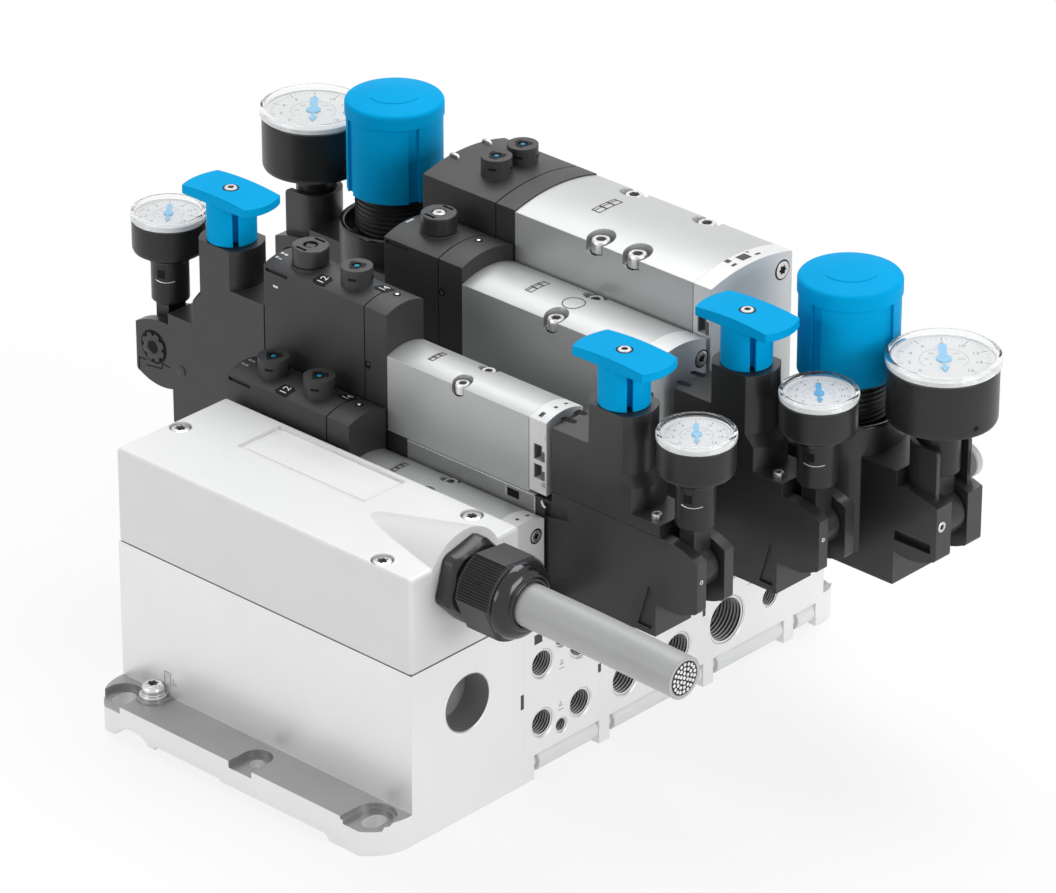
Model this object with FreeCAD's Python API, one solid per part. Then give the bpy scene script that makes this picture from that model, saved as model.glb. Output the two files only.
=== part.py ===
import FreeCAD, Part
import math
import os
from collections import namedtuple

from FreeCAD import Vector

# Pneumatic valve island. An electrical head, three sub-bases and an end plate stand in a row along +Y.
# The air ports face +X. Valves of three widths stand on the sub-bases, some over a regulator plate
# with pressure regulators at its ends. The origin is the centre of the head's underside, +Z is up.
# All sizes are in millimetres.

# Base row
BASE_DEPTH = 139.8
BASE_HEIGHT = 64.65
HEAD_LENGTH = 54.5
SMALL_PITCH = 19.0
MEDIUM_PITCH = 27.0
LARGE_PITCH = 43.0
END_PLATE_LENGTH = 21.4
CASTING_WALL = 4.0

# Mounting flanges under the head and the end plate
FLANGE_HEIGHT = 11.85
HEAD_FLANGE_REACH = 17.0
END_FLANGE_REACH = 11.2
FLANGE_END_INSET = 8.5
SLOT_WIDTH = 6.6
SLOT_LENGTH = 9.6
SLOT_INSET = 9.4
SLOT_OFFSET = 8.7
END_SLOT_OFFSET = 5.6
MIDDLE_HOLE_RADIUS = 2.75
MIDDLE_HOLE_SHIFT = 5.0
POCKET_WIDTH = 13.0
MIDDLE_POCKET_WIDTH = 11.0
POCKET_DEPTH = 2.6
STEP_POCKET_WIDTH = 15.6
STEP_POCKET_DEPTH = 1.1
FOOT_LENGTH = 13.0
ARCH_LENGTH = 17.0
ARCH_HEIGHT = 4.5
ARCH_END_HEIGHT = 1.6
WEB_NOTCH_LENGTH = 3.0
WEB_UNDERCUT_LENGTH = 32.0
WEB_UNDERCUT_HEIGHT = 3.0
RIGHT_UNDERCUT_HEIGHT = 2.2
RIGHT_FOOT_LENGTH = 22.8
EARTH_PAD_RADIUS = 6.2
EARTH_PAD_RISE = 0.5
EARTH_PAD_INSET = 18.9
EARTH_PAD_OFFSET = 3.8

# Cover of the electrical head
GASKET_THICKNESS = 0.6
GASKET_INSET = 0.7
COVER_HEIGHT = 35.3
COVER_WALL = 3.0
COVER_GAP = 1.7
COVER_EDGE_RADIUS = 1.5
COVER_SCREW_POCKET_RADIUS = 4.0
COVER_SCREW_POCKET_DEPTH = 2.5
LEFT_SCREW_INSET = 5.1
LEFT_SCREW_BACK = 25.9
RIGHT_SCREW_INSET = 17.3
FRONT_SCREW_INSET = 4.8
BACK_SCREW_INSET = 6.8
LABEL_WINDOW_LENGTH = 60.5
LABEL_WINDOW_WIDTH = 20.2
LABEL_WINDOW_DEPTH = 1.2
LABEL_WINDOW_START = 29.2
LABEL_WINDOW_BACK = 3.1
BULGE_LENGTH = 42.8
BULGE_RADIUS = 17.3

# Cable gland and cable
GLAND_SHIFT = -1.0
GLAND_DEPTH = 8.15
GLAND_HEX_FLATS = 27.0
GLAND_HEX_TURN = -16.4
GLAND_HEX_THICKNESS = 5.4
GLAND_NECK_RADIUS = 11.8
GLAND_NECK_LENGTH = 9.0
GLAND_NUT_START = 9.2
GLAND_NUT_RADIUS = 15.2
GLAND_NUT_FLAT = 13.5
GLAND_NUT_TURN = 84.0
GLAND_NUT_LENGTH = 15.0
GLAND_DOME_LENGTH = 5.5
GLAND_DOME_STEP = 1.4
GLAND_LIP_RADIUS = 9.2
GLAND_LIP_LENGTH = 0.9
CABLE_RADIUS = 7.5
CABLE_INSET = 6.4
CABLE_CLEARANCE = 0.3
CABLE_DROP = 1.4
CABLE_REACH = 97.0

# Blind cable entry in the head's port side
BLIND_HOLE_RADIUS = 10.35
BLIND_HOLE_HEIGHT = 43.5
BLIND_HOLE_DEPTH = 12.0

# Air ports
PORT_CHAMFER = 0.6
PILOT_PORT_CHAMFER = 0.4
PORT_DEPTH_STEP = 0.4
SMALL_PORT_RADIUS = 5.2
SMALL_PORT_DEPTH = 12.0
PILOT_PORT_RADIUS = 2.8
PILOT_PORT_DEPTH = 8.0
MEDIUM_PORT_RADIUS = 6.5
MEDIUM_PORT_DEPTH = 13.0
LARGE_PORT_RADIUS = 8.95
LARGE_PORT_DEPTH = 16.0
VENT_PORT_RADIUS = 4.0
VENT_PORT_DEPTH = 10.0
LOWER_PORT_HEIGHT = 20.4
UPPER_PORT_HEIGHT = 43.4
LOWER_PILOT_PORT_HEIGHT = 15.5
UPPER_PILOT_PORT_HEIGHT = 49.0
MEDIUM_UPPER_PORT_HEIGHT = 41.0
LARGE_PORT_OFFSET = 12.4
LARGE_LOWER_PORT_HEIGHT = 21.8
LARGE_UPPER_PORT_HEIGHT = 46.0
VENT_PORT_OFFSET = 35.5

# Tie rods in their side grooves
GROOVE_WALL = 5.2
GROOVE_HEIGHT = 9.3
GROOVE_DEPTH = 9.2
TIE_ROD_RADIUS = 4.2
TIE_STUD_RADIUS = 2.5
TIE_STUD_LENGTH = 3.2
TIE_CLEARANCE = 0.1

# Regulator plates and the blanking plate
PLATE_HEIGHT = 35.2
PLATE_END = 61.2
BLANKING_HEIGHT = 7.0
BLANKING_LENGTH = 108.0
PLATE_LEDGE_DEPTH = 1.2
PLATE_LEDGE_HEIGHT = 24.0
PLATE_LEDGE_INSET = 8.0

# Overrides on the pilots
COLLAR_RADIUS = 5.6
COLLAR_HEIGHT = 6.4
PLUNGER_RADIUS = 2.4
PLUNGER_LENGTH = 6.0
PLUNGER_TRAVEL = 1.2
CAP_RADIUS = 6.5
CAP_HEIGHT = 6.5
CAP_SLOT_WIDTH = 1.2
CAP_SLOT_LENGTH = 5.0
CAP_SLOT_OFFSET = 4.6
CAP_SLOT_DEPTH = 1.4
CAP_RECESS_RADIUS = 2.7
CAP_PIN_RADIUS = 3.0
CAP_PIN_LENGTH = 4.0
SEAT_RADIUS = 6.9
SEAT_RISE = 0.3
RUNNING_FIT = 0.05
SIDE_CLEARANCE = 0.3

# Spools inside the valves
SPOOL_TRAVEL = 4.0
SPOOL_NECK_RATIO = 0.6
SPOOL_LANDS = 4

# Two-part valve covers
SPLIT_GROOVE = 0.5
END_CAP_POCKET_DEPTH = 3.0
END_CAP_LIFT = 0.9
SIDE_SLOT_START = 0.9
SIDE_SLOT_LENGTH = 10.7
SIDE_SLOT_HEIGHT = 1.4
SIDE_SLOT_DEPTH = 1.0
SIDE_SLOT_DROP = 0.8

# A valve: widths and lengths of its metal body, end cap and pilot, measured from the seam
# between pilot and body. Heights are above the valve's own seat.
ValveSize = namedtuple("ValveSize", (
    "width seam_x body_length body_height crown cap_length pilot_length pilot_height split_offset "
    "near_screws far_screws screw_inset pocket_radius pocket_depth spool_radius spool_height pockets"))

SMALL_VALVE = ValveSize(
    width=18.0, seam_x=-12.2, body_length=66.3, body_height=28.2, crown=2.0, cap_length=7.9,
    pilot_length=59.4, pilot_height=43.65, split_offset=11.0,
    near_screws=(33.2,), far_screws=(33.2,), screw_inset=2.6, pocket_radius=3.6, pocket_depth=3.2,
    spool_radius=4.0, spool_height=14.0, pockets=((6.2, 5.4), (13.3, 5.8)))
MEDIUM_VALVE = ValveSize(
    width=26.0, seam_x=-20.6, body_length=81.2, body_height=36.4, crown=2.6, cap_length=8.9,
    pilot_length=37.6, pilot_height=42.6, split_offset=11.6,
    near_screws=(41.7,), far_screws=(41.7,), screw_inset=3.0, pocket_radius=4.4, pocket_depth=4.0,
    spool_radius=5.5, spool_height=18.0, pockets=((9.0, 7.0), (20.0, 8.0)))
LARGE_VALVE = ValveSize(
    width=42.0, seam_x=-20.7, body_length=83.0, body_height=54.9, crown=3.0, cap_length=8.1,
    pilot_length=44.5, pilot_height=55.4, split_offset=9.5,
    near_screws=(37.3, 54.3), far_screws=(21.2, 55.2), screw_inset=3.6, pocket_radius=5.2,
    pocket_depth=4.1, spool_radius=9.0, spool_height=27.0, pockets=((12.0, 12.0), (37.2, 7.8)))

# Overrides of each valve: distance back from the seam, offset across the valve
SMALL_REAR_OVERRIDE = 45.2
SMALL_FRONT_OVERRIDE = 22.9
MEDIUM_OVERRIDE = 23.4
LARGE_OVERRIDE = 22.3
LARGE_OVERRIDE_OFFSET = 6.75

# Pressure regulators: distances outward from the plate's middle, heights above the sub-base
SMALL_REGULATOR_WIDTH = 18.0
SMALL_CENTRE = -3.8
MEDIUM_CENTRE = 6.2
LARGE_CENTRE = 7.3
REGULATOR_INNER = 65.0
REGULATOR_SPIGOT_HEIGHT = 34.7
UNDERSIDE = 1.0
LOBE_START = 13.8
LOBE_BELLY = 13.1
LOBE_END = 15.6
LOBE_EDGE = 1.6
SMALL_FOOT_OUTER = 116.7
SMALL_FOOT_SETBACK = 1.2
SMALL_UPPER_INNER = 68.3
SMALL_FACE_REACH = 17.1
SPLIT_HEIGHT = 38.95
SMALL_LOBE_SHOULDER = 35.0
SEAM_WIDTH = 0.4
CATCH_NOTCH_LENGTH = 11.5
CATCH_NOTCH_TOP = 33.8
CATCH_NOTCH_DROP = 5.8
CATCH_NOTCH_DEPTH = 1.4
LABEL_GROOVE_INSET = 2.9
LABEL_GROOVE_TOP = 19.0
LABEL_GROOVE_BOTTOM = 3.4
LABEL_GROOVE_TIP = 1.6
LABEL_GROOVE_FOOT = 6.1
LABEL_GROOVE_DEPTH = 0.8
STEP_HEIGHT = 43.35
BULGE_TOP = 52.35
CONE_TOP = 56.35
UPPER_TOP = 62.85
COLLAR_TOP = 77.85
HOUSING_BULGE_RADIUS = 14.6
HOUSING_COLLAR_RADIUS = 11.7
SMALL_KNOB_REACH = 24.1
SMALL_PIVOT_REACH = 8.0
PIVOT_HEIGHT = 27.65
SMALL_SLOT_WIDTH = 9.0
PIVOT_PIN_RADIUS = 4.0
PIVOT_PIN_SINK = 3.4
BARREL_GAP = 0.5
FOOT_TAB = (5.0, 6.0, 6.2)
FOOT_TAB_TOP = 14.9

# Large regulator
LARGE_REGULATOR_WIDTH = 41.2
LARGE_FORK_WIDTH = 24.0
LARGE_LOBE_SHOULDER = 36.2
LARGE_FOOT_SETBACK = 0.2
LARGE_SLOT_WIDTH = 8.6
LARGE_UPPER_INNER = 73.2
LARGE_FOOT_OUTER = 138.8
LARGE_KNOB_REACH = 32.0
LARGE_PIVOT_REACH = 9.2
LARGE_FACE_REACH = 18.2
LARGE_BLOCK_TOP = 44.35
LARGE_FORK_TOP = 39.4
LARGE_CUP_RADIUS = 20.6
LARGE_CUP_BOTTOM = 7.85
LARGE_CUP_TOP = 54.35
LARGE_CUP_WALL = 2.0
LARGE_CUP_DEPTH = 8.0
BONNET_RADIUS = 14.0
BONNET_TOP = 68.0
SIDE_POCKET = (15.8, 3.6, 2.5)
SIDE_POCKET_HEIGHT = 18.4
SHIELD_RADIUS = 9.2
SHIELD_WALL = 1.8
SHIELD_INSET = 1.5
SHIELD_REACH = 6.0
SHIELD_BOTTOM = 30.0
SHIELD_TOP = 55.4
SHIELD_CORNER = 2.0

# Knobs and spindles
KNOB_GAP = 0.3
SPINDLE_RADIUS = 3.0
SPINDLE_SINK = 24.0
T_NECK_RADIUS = 8.9
T_NECK_HEIGHT = 14.9
T_BAR_LENGTH = 31.0
T_BAR_WIDTH = 17.5
T_BAR_BULGE = 2.25
T_BAR_THICKNESS = 2.6
T_BAR_CROWN = 1.4
T_SLOT_WIDTH = 2.1
T_SLOT_DEPTH = 4.0
T_SLOT_ANGLE = -35.5
ROUND_KNOB_RADIUS = 18.0
ROUND_KNOB_HEIGHT = 34.5
ROUND_KNOB_DOME = 2.5
ROUND_KNOB_EDGE = 1.6
ROUND_KNOB_BODY_RADIUS = 17.5
ROUND_KNOB_BAND_START = 29.0
ROUND_KNOB_SLOTS = 4
KNOB_SLOT_WIDTH = 4.0
KNOB_SLOT_DEPTH = 1.2
LEFT_KNOB_TURN = -22.6

# Pressure gauges, heights above the sub-base
GaugeSize = namedtuple("GaugeSize", "radius cup_bottom ring_bottom ring_top")
SMALL_GAUGE = GaugeSize(radius=13.25, cup_bottom=63.35, ring_bottom=75.15, ring_top=78.65)
LARGE_GAUGE = GaugeSize(radius=19.0, cup_bottom=63.65, ring_bottom=83.6, ring_top=87.45)
GAUGE_RING_WALL = 1.2
GAUGE_FLANGE_RADIUS = 8.0
GAUGE_FLANGE_HEIGHT = 3.5
ADAPTER_RADIUS = 6.9
ADAPTER_BOTTOM = 44.2
GAUGE_NECK_THICKNESS = 6.4
POINTER_THICKNESS = 0.6
POINTER_GAP = 0.5
POINTER_ANGLE = -47.0
POINTER_PIN_RADIUS = 0.8
POINTER_PIN_LENGTH = 2.0

# How far a cutting shape runs past what it cuts, and the length below which a line is left out
OVERSHOOT = 5.0
TINY = 1e-6

HALF_DEPTH = BASE_DEPTH / 2
SLOT_SPACING = BASE_DEPTH - 2 * SLOT_INSET
HEAD_FRONT = -HEAD_LENGTH / 2
HEAD_BACK = HEAD_LENGTH / 2
SMALL_BASE_END = HEAD_BACK + 2 * SMALL_PITCH
MEDIUM_BASE_END = SMALL_BASE_END + 2 * MEDIUM_PITCH
LARGE_BASE_END = MEDIUM_BASE_END + LARGE_PITCH
RAISED_SEAT = BASE_HEIGHT + PLATE_HEIGHT
COVER_BOTTOM = BASE_HEIGHT + GASKET_THICKNESS
COVER_TOP = COVER_BOTTOM + COVER_HEIGHT
GLAND_HEIGHT = COVER_TOP - GLAND_DEPTH
SMALL_KNOB_AXIS = SMALL_FOOT_OUTER - SMALL_KNOB_REACH
SMALL_PIVOT_AXIS = SMALL_FOOT_OUTER + SMALL_PIVOT_REACH
SMALL_FACE = SMALL_FOOT_OUTER + SMALL_FACE_REACH
LARGE_KNOB_AXIS = LARGE_FOOT_OUTER - LARGE_KNOB_REACH
LARGE_PIVOT_AXIS = LARGE_FOOT_OUTER + LARGE_PIVOT_REACH
LARGE_FACE = LARGE_FOOT_OUTER + LARGE_FACE_REACH


def box(x0, x1, y0, y1, z0, z1):
    return Part.makeBox(x1 - x0, y1 - y0, z1 - z0, Vector(x0, y0, z0))


def upright(radius, x, y, z0, z1):
    return Part.makeCylinder(radius, z1 - z0, Vector(x, y, z0))


def along_x(radius, x0, x1, y, z):
    return Part.makeCylinder(radius, x1 - x0, Vector(x0, y, z), Vector(1, 0, 0))


def along_y(radius, x, y0, y1, z):
    return Part.makeCylinder(radius, y1 - y0, Vector(x, y0, z), Vector(0, 1, 0))


def fused(first, *others):
    return first.fuse(list(others)).removeSplitter()


def face_from(steps, place):
    """Closes an outline of points; a step that holds two points is an arc through one to the other."""
    edges = []
    here = place(*steps[0])
    for step in steps[1:] + steps[:1]:
        if isinstance(step[0], tuple):
            through, end = (place(*point) for point in step)
            edges.append(Part.Arc(here, through, end).toShape())
        else:
            end = place(*step)
            if here.distanceToPoint(end) > TINY:
                edges.append(Part.makeLine(here, end))
        here = end
    return Part.Face(Part.Wire(edges))


def prism_across(steps, y0, y1):
    """Extrudes an outline drawn in X and Z from y0 to y1."""
    return face_from(steps, lambda x, z: Vector(x, y0, z)).extrude(Vector(0, y1 - y0, 0))


def prism_along(steps, x0, x1):
    """Extrudes an outline drawn in Y and Z from x0 to x1."""
    return face_from(steps, lambda y, z: Vector(x0, y, z)).extrude(Vector(x1 - x0, 0, 0))


def prism_up(steps, z0, z1):
    """Extrudes an outline drawn in X and Y from z0 to z1."""
    return face_from(steps, lambda x, y: Vector(x, y, z0)).extrude(Vector(0, 0, z1 - z0))


def is_upright(edge):
    box_of = edge.BoundBox
    return box_of.XLength + box_of.YLength < 1e-4


def lies_at(edge, z):
    box_of = edge.BoundBox
    return abs(box_of.ZMin - z) + abs(box_of.ZMax - z) < 1e-3


def softened(shape, radius, wanted):
    return shape.makeFillet(radius, [edge for edge in shape.Edges if wanted(edge)])


def crowned(x0, x1, y, width, z0, side_z, crown):
    """A bar along X with straight sides and a shallow arched top."""
    half = width / 2
    steps = [
        (y - half, z0), (y + half, z0), (y + half, side_z), ((y, side_z + crown), (y - half, side_z))]
    return prism_along(steps, x0, x1)


def slot_up(x, y, width, length, z0, z1):
    """A slot running along Y with round ends."""
    half = (length - width) / 2
    radius = width / 2
    steps = [
        (x - radius, y - half), ((x, y - half - radius), (x + radius, y - half)),
        (x + radius, y + half), ((x, y + half + radius), (x - radius, y + half))]
    return prism_up(steps, z0, z1)


def flange(reach, slot_offset):
    """A mounting flange standing out towards -Y from a wall at y = 0."""
    tip = HALF_DEPTH - FLANGE_END_INSET
    bow = HALF_DEPTH - 0.2 * FLANGE_END_INSET
    steps = [
        (-HALF_DEPTH, 0), ((-bow, -0.56 * reach), (-tip, -reach)), (tip, -reach),
        ((bow, -0.56 * reach), (HALF_DEPTH, 0))]
    plate = prism_up(steps, 0, FLANGE_HEIGHT)
    slot_x = SLOT_SPACING / 2
    plate = plate.cut([
        flange_pocket(-slot_x, POCKET_WIDTH, POCKET_DEPTH, reach, slot_offset),
        flange_pocket(MIDDLE_HOLE_SHIFT, MIDDLE_POCKET_WIDTH, POCKET_DEPTH, reach, slot_offset),
        flange_pocket(slot_x, POCKET_WIDTH, POCKET_DEPTH, reach, slot_offset),
        flange_pocket(slot_x, STEP_POCKET_WIDTH, STEP_POCKET_DEPTH, reach, slot_offset),
        slot_up(-slot_x, -slot_offset, SLOT_WIDTH, SLOT_LENGTH, -1, FLANGE_HEIGHT),
        slot_up(slot_x, -slot_offset, SLOT_WIDTH, SLOT_LENGTH, -1, FLANGE_HEIGHT),
        upright(MIDDLE_HOLE_RADIUS, MIDDLE_HOLE_SHIFT, -slot_offset, -1, FLANGE_HEIGHT)])
    return plate.cut(undercut(reach))


def flange_pocket(x, width, depth, reach, slot_offset):
    """A round-ended pocket over a mounting hole, open to the flange's front."""
    length = 2 * (reach + OVERSHOOT - slot_offset) + width
    return slot_up(x, -reach - OVERSHOOT, width, length, FLANGE_HEIGHT - depth, FLANGE_HEIGHT + OVERSHOOT)


def undercut(reach):
    """The hollow between the feet of a flange: an arch, then a flat web with a deeper middle."""
    arch = -HALF_DEPTH + FOOT_LENGTH
    web = arch + ARCH_LENGTH
    middle = web + WEB_NOTCH_LENGTH
    middle_end = middle + WEB_UNDERCUT_LENGTH
    right = HALF_DEPTH - RIGHT_FOOT_LENGTH
    low = ARCH_END_HEIGHT
    high = WEB_UNDERCUT_HEIGHT
    last = RIGHT_UNDERCUT_HEIGHT
    steps = [
        (arch, -1), (arch, 0), ((arch + 0.4 * ARCH_LENGTH, ARCH_HEIGHT), (web, low)), (middle, low),
        (middle, high), (middle_end, high), (middle_end, last), (right - last, last),
        ((right - 0.3 * last, 0.7 * last), (right, 0)), (right, -1)]
    return prism_across(steps, -reach - 1, 0)


def head_base():
    body = box(-HALF_DEPTH, HALF_DEPTH, HEAD_FRONT, HEAD_BACK, 0, BASE_HEIGHT)
    front = flange(HEAD_FLANGE_REACH, SLOT_OFFSET)
    front.translate(Vector(0, HEAD_FRONT, 0))
    body = fused(body, front, earth_pad())
    body = body.cut(earth_pad_relief())
    wiring_depth = BASE_HEIGHT - BLIND_HOLE_HEIGHT - BLIND_HOLE_RADIUS - CASTING_WALL
    wall = 2 * CASTING_WALL
    body = body.cut(box(-HALF_DEPTH + wall, HALF_DEPTH - wall, HEAD_FRONT + wall, HEAD_BACK - wall,
                        BASE_HEIGHT - wiring_depth, BASE_HEIGHT + 1))
    return body.cut(port(BLIND_HOLE_RADIUS, BLIND_HOLE_DEPTH, 0, BLIND_HOLE_HEIGHT))


def earth_pad():
    """The raised seat of the earth screw, beside the wall over the flange."""
    x = -HALF_DEPTH + EARTH_PAD_INSET
    y = HEAD_FRONT - EARTH_PAD_OFFSET
    top = FLANGE_HEIGHT + EARTH_PAD_RISE
    block = box(x - EARTH_PAD_RADIUS, x + EARTH_PAD_RADIUS, y, HEAD_FRONT, FLANGE_HEIGHT - 1, top)
    return block.fuse(upright(EARTH_PAD_RADIUS, x, y, FLANGE_HEIGHT - 1, top))


def earth_pad_relief():
    """Keeps the pocket of the left slot free of the pad."""
    pocket = flange_pocket(-SLOT_SPACING / 2, POCKET_WIDTH, POCKET_DEPTH, HEAD_FLANGE_REACH, SLOT_OFFSET)
    pocket.translate(Vector(0, HEAD_FRONT, 0))
    return pocket


def port(radius, depth, y, z, chamfer=PORT_CHAMFER):
    """The hollow of a threaded port in the +X face, with its lead-in."""
    hole = along_x(radius, HALF_DEPTH - depth, HALF_DEPTH + 1, y, z)
    lead = Part.makeCone(radius, radius + chamfer, chamfer, Vector(HALF_DEPTH - chamfer, y, z),
                         Vector(1, 0, 0))
    return hole.fuse(lead)


def drilled(body, radius, depth, places, chamfer=PORT_CHAMFER):
    """Cuts ports into a block, each a step deeper than the one before, down to its own gallery."""
    for turn, (y, z) in enumerate(places):
        body = body.cut(port(radius, depth + PORT_DEPTH_STEP * turn, y, z, chamfer))
    return body


def head_gasket():
    outer = box(-HALF_DEPTH + GASKET_INSET, HALF_DEPTH - GASKET_INSET, HEAD_FRONT + GASKET_INSET,
                HEAD_BACK - COVER_GAP - GASKET_INSET, BASE_HEIGHT, COVER_BOTTOM)
    wall = 2 * CASTING_WALL
    return outer.cut(box(-HALF_DEPTH + wall, HALF_DEPTH - wall, HEAD_FRONT + wall, HEAD_BACK - wall,
                         BASE_HEIGHT - 1, COVER_BOTTOM + 1))


def cover_screws():
    """Places of the cover's three fixing screws, in X and Y."""
    right = HALF_DEPTH - RIGHT_SCREW_INSET
    return [(-HALF_DEPTH + LEFT_SCREW_INSET, HEAD_FRONT + LEFT_SCREW_BACK),
            (right, HEAD_FRONT + FRONT_SCREW_INSET), (right, HEAD_BACK - BACK_SCREW_INSET)]


def head_cover():
    back = HEAD_BACK - COVER_GAP
    shell = box(-HALF_DEPTH, HALF_DEPTH, HEAD_FRONT, back, COVER_BOTTOM, COVER_TOP)
    bulge = Part.makeCone(GLAND_DEPTH, BULGE_RADIUS, BULGE_LENGTH,
                          Vector(HALF_DEPTH - BULGE_LENGTH, GLAND_SHIFT, GLAND_HEIGHT), Vector(1, 0, 0))
    shell = softened(shell, COVER_EDGE_RADIUS, lambda edge: is_upright(edge) or lies_at(edge, COVER_TOP))
    shell = fused(shell, bulge)
    wall = COVER_WALL
    cavity = box(-HALF_DEPTH + wall, HALF_DEPTH - wall, HEAD_FRONT + wall, back - wall,
                 COVER_BOTTOM - 1, COVER_TOP - wall - LABEL_WINDOW_DEPTH)
    shell = shell.cut(cavity)
    for x, y in cover_screws():
        boss = upright(COVER_SCREW_POCKET_RADIUS + 1.5, x, y, COVER_BOTTOM, COVER_TOP - wall)
        boss = boss.common(box(-HALF_DEPTH, HALF_DEPTH, HEAD_FRONT, back, COVER_BOTTOM, COVER_TOP))
        shell = fused(shell, boss)
        shell = shell.cut(upright(COVER_SCREW_POCKET_RADIUS, x, y,
                                  COVER_TOP - COVER_SCREW_POCKET_DEPTH, COVER_TOP + 1))
    window_x = -HALF_DEPTH + LABEL_WINDOW_START
    window_back = back - LABEL_WINDOW_BACK
    shell = shell.cut(box(window_x, window_x + LABEL_WINDOW_LENGTH, window_back - LABEL_WINDOW_WIDTH,
                          window_back, COVER_TOP - LABEL_WINDOW_DEPTH, COVER_TOP + 1))
    return shell


def hexagon_x(flats, x0, x1, y, z):
    """A hexagonal bar along X, with one corner near the top."""
    corner = flats / math.sqrt(3)
    angles = [math.radians(90 + GLAND_HEX_TURN + 60 * turn) for turn in range(6)]
    steps = [(y + corner * math.cos(angle), z + corner * math.sin(angle)) for angle in angles]
    return prism_along(steps, x0, x1)


def gland_body():
    hexagon_end = HALF_DEPTH + GLAND_HEX_THICKNESS
    hexagon = hexagon_x(GLAND_HEX_FLATS, HALF_DEPTH, hexagon_end, GLAND_SHIFT, GLAND_HEIGHT)
    chamfer = Part.makeCone(GLAND_HEX_FLATS / 2 + 3.5, GLAND_HEX_FLATS / 2 - 0.3, GLAND_HEX_THICKNESS,
                            Vector(HALF_DEPTH, GLAND_SHIFT, GLAND_HEIGHT), Vector(1, 0, 0))
    neck = along_x(GLAND_NECK_RADIUS, HALF_DEPTH + 1, hexagon_end + GLAND_NECK_LENGTH,
                   GLAND_SHIFT, GLAND_HEIGHT)
    seat = along_x(CABLE_RADIUS + CABLE_CLEARANCE, HALF_DEPTH + CABLE_INSET,
                   hexagon_end + GLAND_NECK_LENGTH + 1, GLAND_SHIFT, GLAND_HEIGHT)
    return fused(hexagon.common(chamfer), neck).cut(seat)


def gland_nut():
    """A round nut with three flats and a stepped dome that ends in a lip round the cable."""
    start = HALF_DEPTH + GLAND_NUT_START
    middle = start + GLAND_NUT_LENGTH
    end = middle + GLAND_DOME_LENGTH
    shoulder = GLAND_NUT_FLAT - 0.2
    lip = end - GLAND_LIP_LENGTH
    rounds = [
        (start, 0), (start, GLAND_NUT_RADIUS), (middle, GLAND_NUT_RADIUS), (middle, shoulder),
        ((middle + 0.6 * GLAND_DOME_LENGTH, shoulder - GLAND_DOME_STEP), (lip, GLAND_LIP_RADIUS + 0.6)),
        (lip, GLAND_LIP_RADIUS), (end, GLAND_LIP_RADIUS), (end, 0)]
    profile = face_from(rounds, lambda x, r: Vector(x, GLAND_SHIFT, GLAND_HEIGHT + r))
    nut = profile.revolve(Vector(0, GLAND_SHIFT, GLAND_HEIGHT), Vector(1, 0, 0), 360)
    for turn in range(3):
        side = box(start - 1, middle + 1, GLAND_NUT_FLAT, GLAND_NUT_RADIUS + 1, -GLAND_NUT_RADIUS,
                   GLAND_NUT_RADIUS)
        side.rotate(Vector(0, 0, 0), Vector(1, 0, 0), GLAND_NUT_TURN + 120 * turn)
        side.translate(Vector(0, GLAND_SHIFT, GLAND_HEIGHT))
        nut = nut.cut(side)
    sleeve = along_x(GLAND_NECK_RADIUS + TIE_CLEARANCE, start - 1,
                     HALF_DEPTH + GLAND_HEX_THICKNESS + GLAND_NECK_LENGTH + TIE_CLEARANCE,
                     GLAND_SHIFT, GLAND_HEIGHT)
    bore = along_x(CABLE_RADIUS + CABLE_CLEARANCE, start - 1, end + 1, GLAND_SHIFT, GLAND_HEIGHT)
    return nut.cut(sleeve).cut(bore)


def cable_route():
    """Points of the cable's middle line, from its seat in the gland to its cut end."""
    start = HALF_DEPTH + CABLE_INSET
    step = (CABLE_REACH - CABLE_INSET) / 3
    heights = (0, 0, -0.25 * CABLE_DROP, -CABLE_DROP)
    return [Vector(start + step * turn, GLAND_SHIFT, GLAND_HEIGHT + height)
            for turn, height in enumerate(heights)]


def cable():
    """A tube along straight runs joined by tangent arcs."""
    points = cable_route()
    edges = []
    here = points[0]
    for before, corner, after in zip(points, points[1:], points[2:]):
        back = before - corner
        ahead = after - corner
        shorter = min(back.Length, ahead.Length)
        turn = math.pi - back.getAngle(ahead)
        reach = 0.45 * shorter
        radius = reach / math.tan(turn / 2)
        print("cable bend radius", round(radius, 1))
        back.normalize()
        ahead.normalize()
        arc_start = corner + back * reach
        arc_end = corner + ahead * reach
        middle = (back + ahead).normalize()
        arc_middle = corner + middle * (radius / math.cos(turn / 2) - radius)
        edges.append(Part.makeLine(here, arc_start))
        edges.append(Part.Arc(arc_start, arc_middle, arc_end).toShape())
        here = arc_end
    edges.append(Part.makeLine(here, points[-1]))
    path = Part.Wire(edges)
    ring = Part.Wire(Part.makeCircle(CABLE_RADIUS, points[0], points[1] - points[0]))
    tube = path.makePipeShell([ring], True, False)
    print("cable length", round(path.Length, 1), "volume ratio",
          round(tube.Volume / (path.Length * math.pi * CABLE_RADIUS ** 2), 4))
    return tube


def grooves(y0, y1):
    """The tie rod grooves along both lower edges of a block of the row."""
    inner = HALF_DEPTH - GROOVE_DEPTH
    low = [box(inner, HALF_DEPTH + 1, y0 + GROOVE_WALL, y1 + 1, -1, GROOVE_HEIGHT),
           box(-HALF_DEPTH - 1, -inner, y0 + GROOVE_WALL, y1 + 1, -1, GROOVE_HEIGHT)]
    low += [along_y(TIE_STUD_RADIUS + TIE_CLEARANCE, side * tie_x(), y0 - 1, y0 + GROOVE_WALL + 1, tie_z())
            for side in (-1, 1)]
    return low


def tie_x():
    return HALF_DEPTH - GROOVE_DEPTH / 2


def tie_z():
    return GROOVE_HEIGHT / 2 + 0.1


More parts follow.
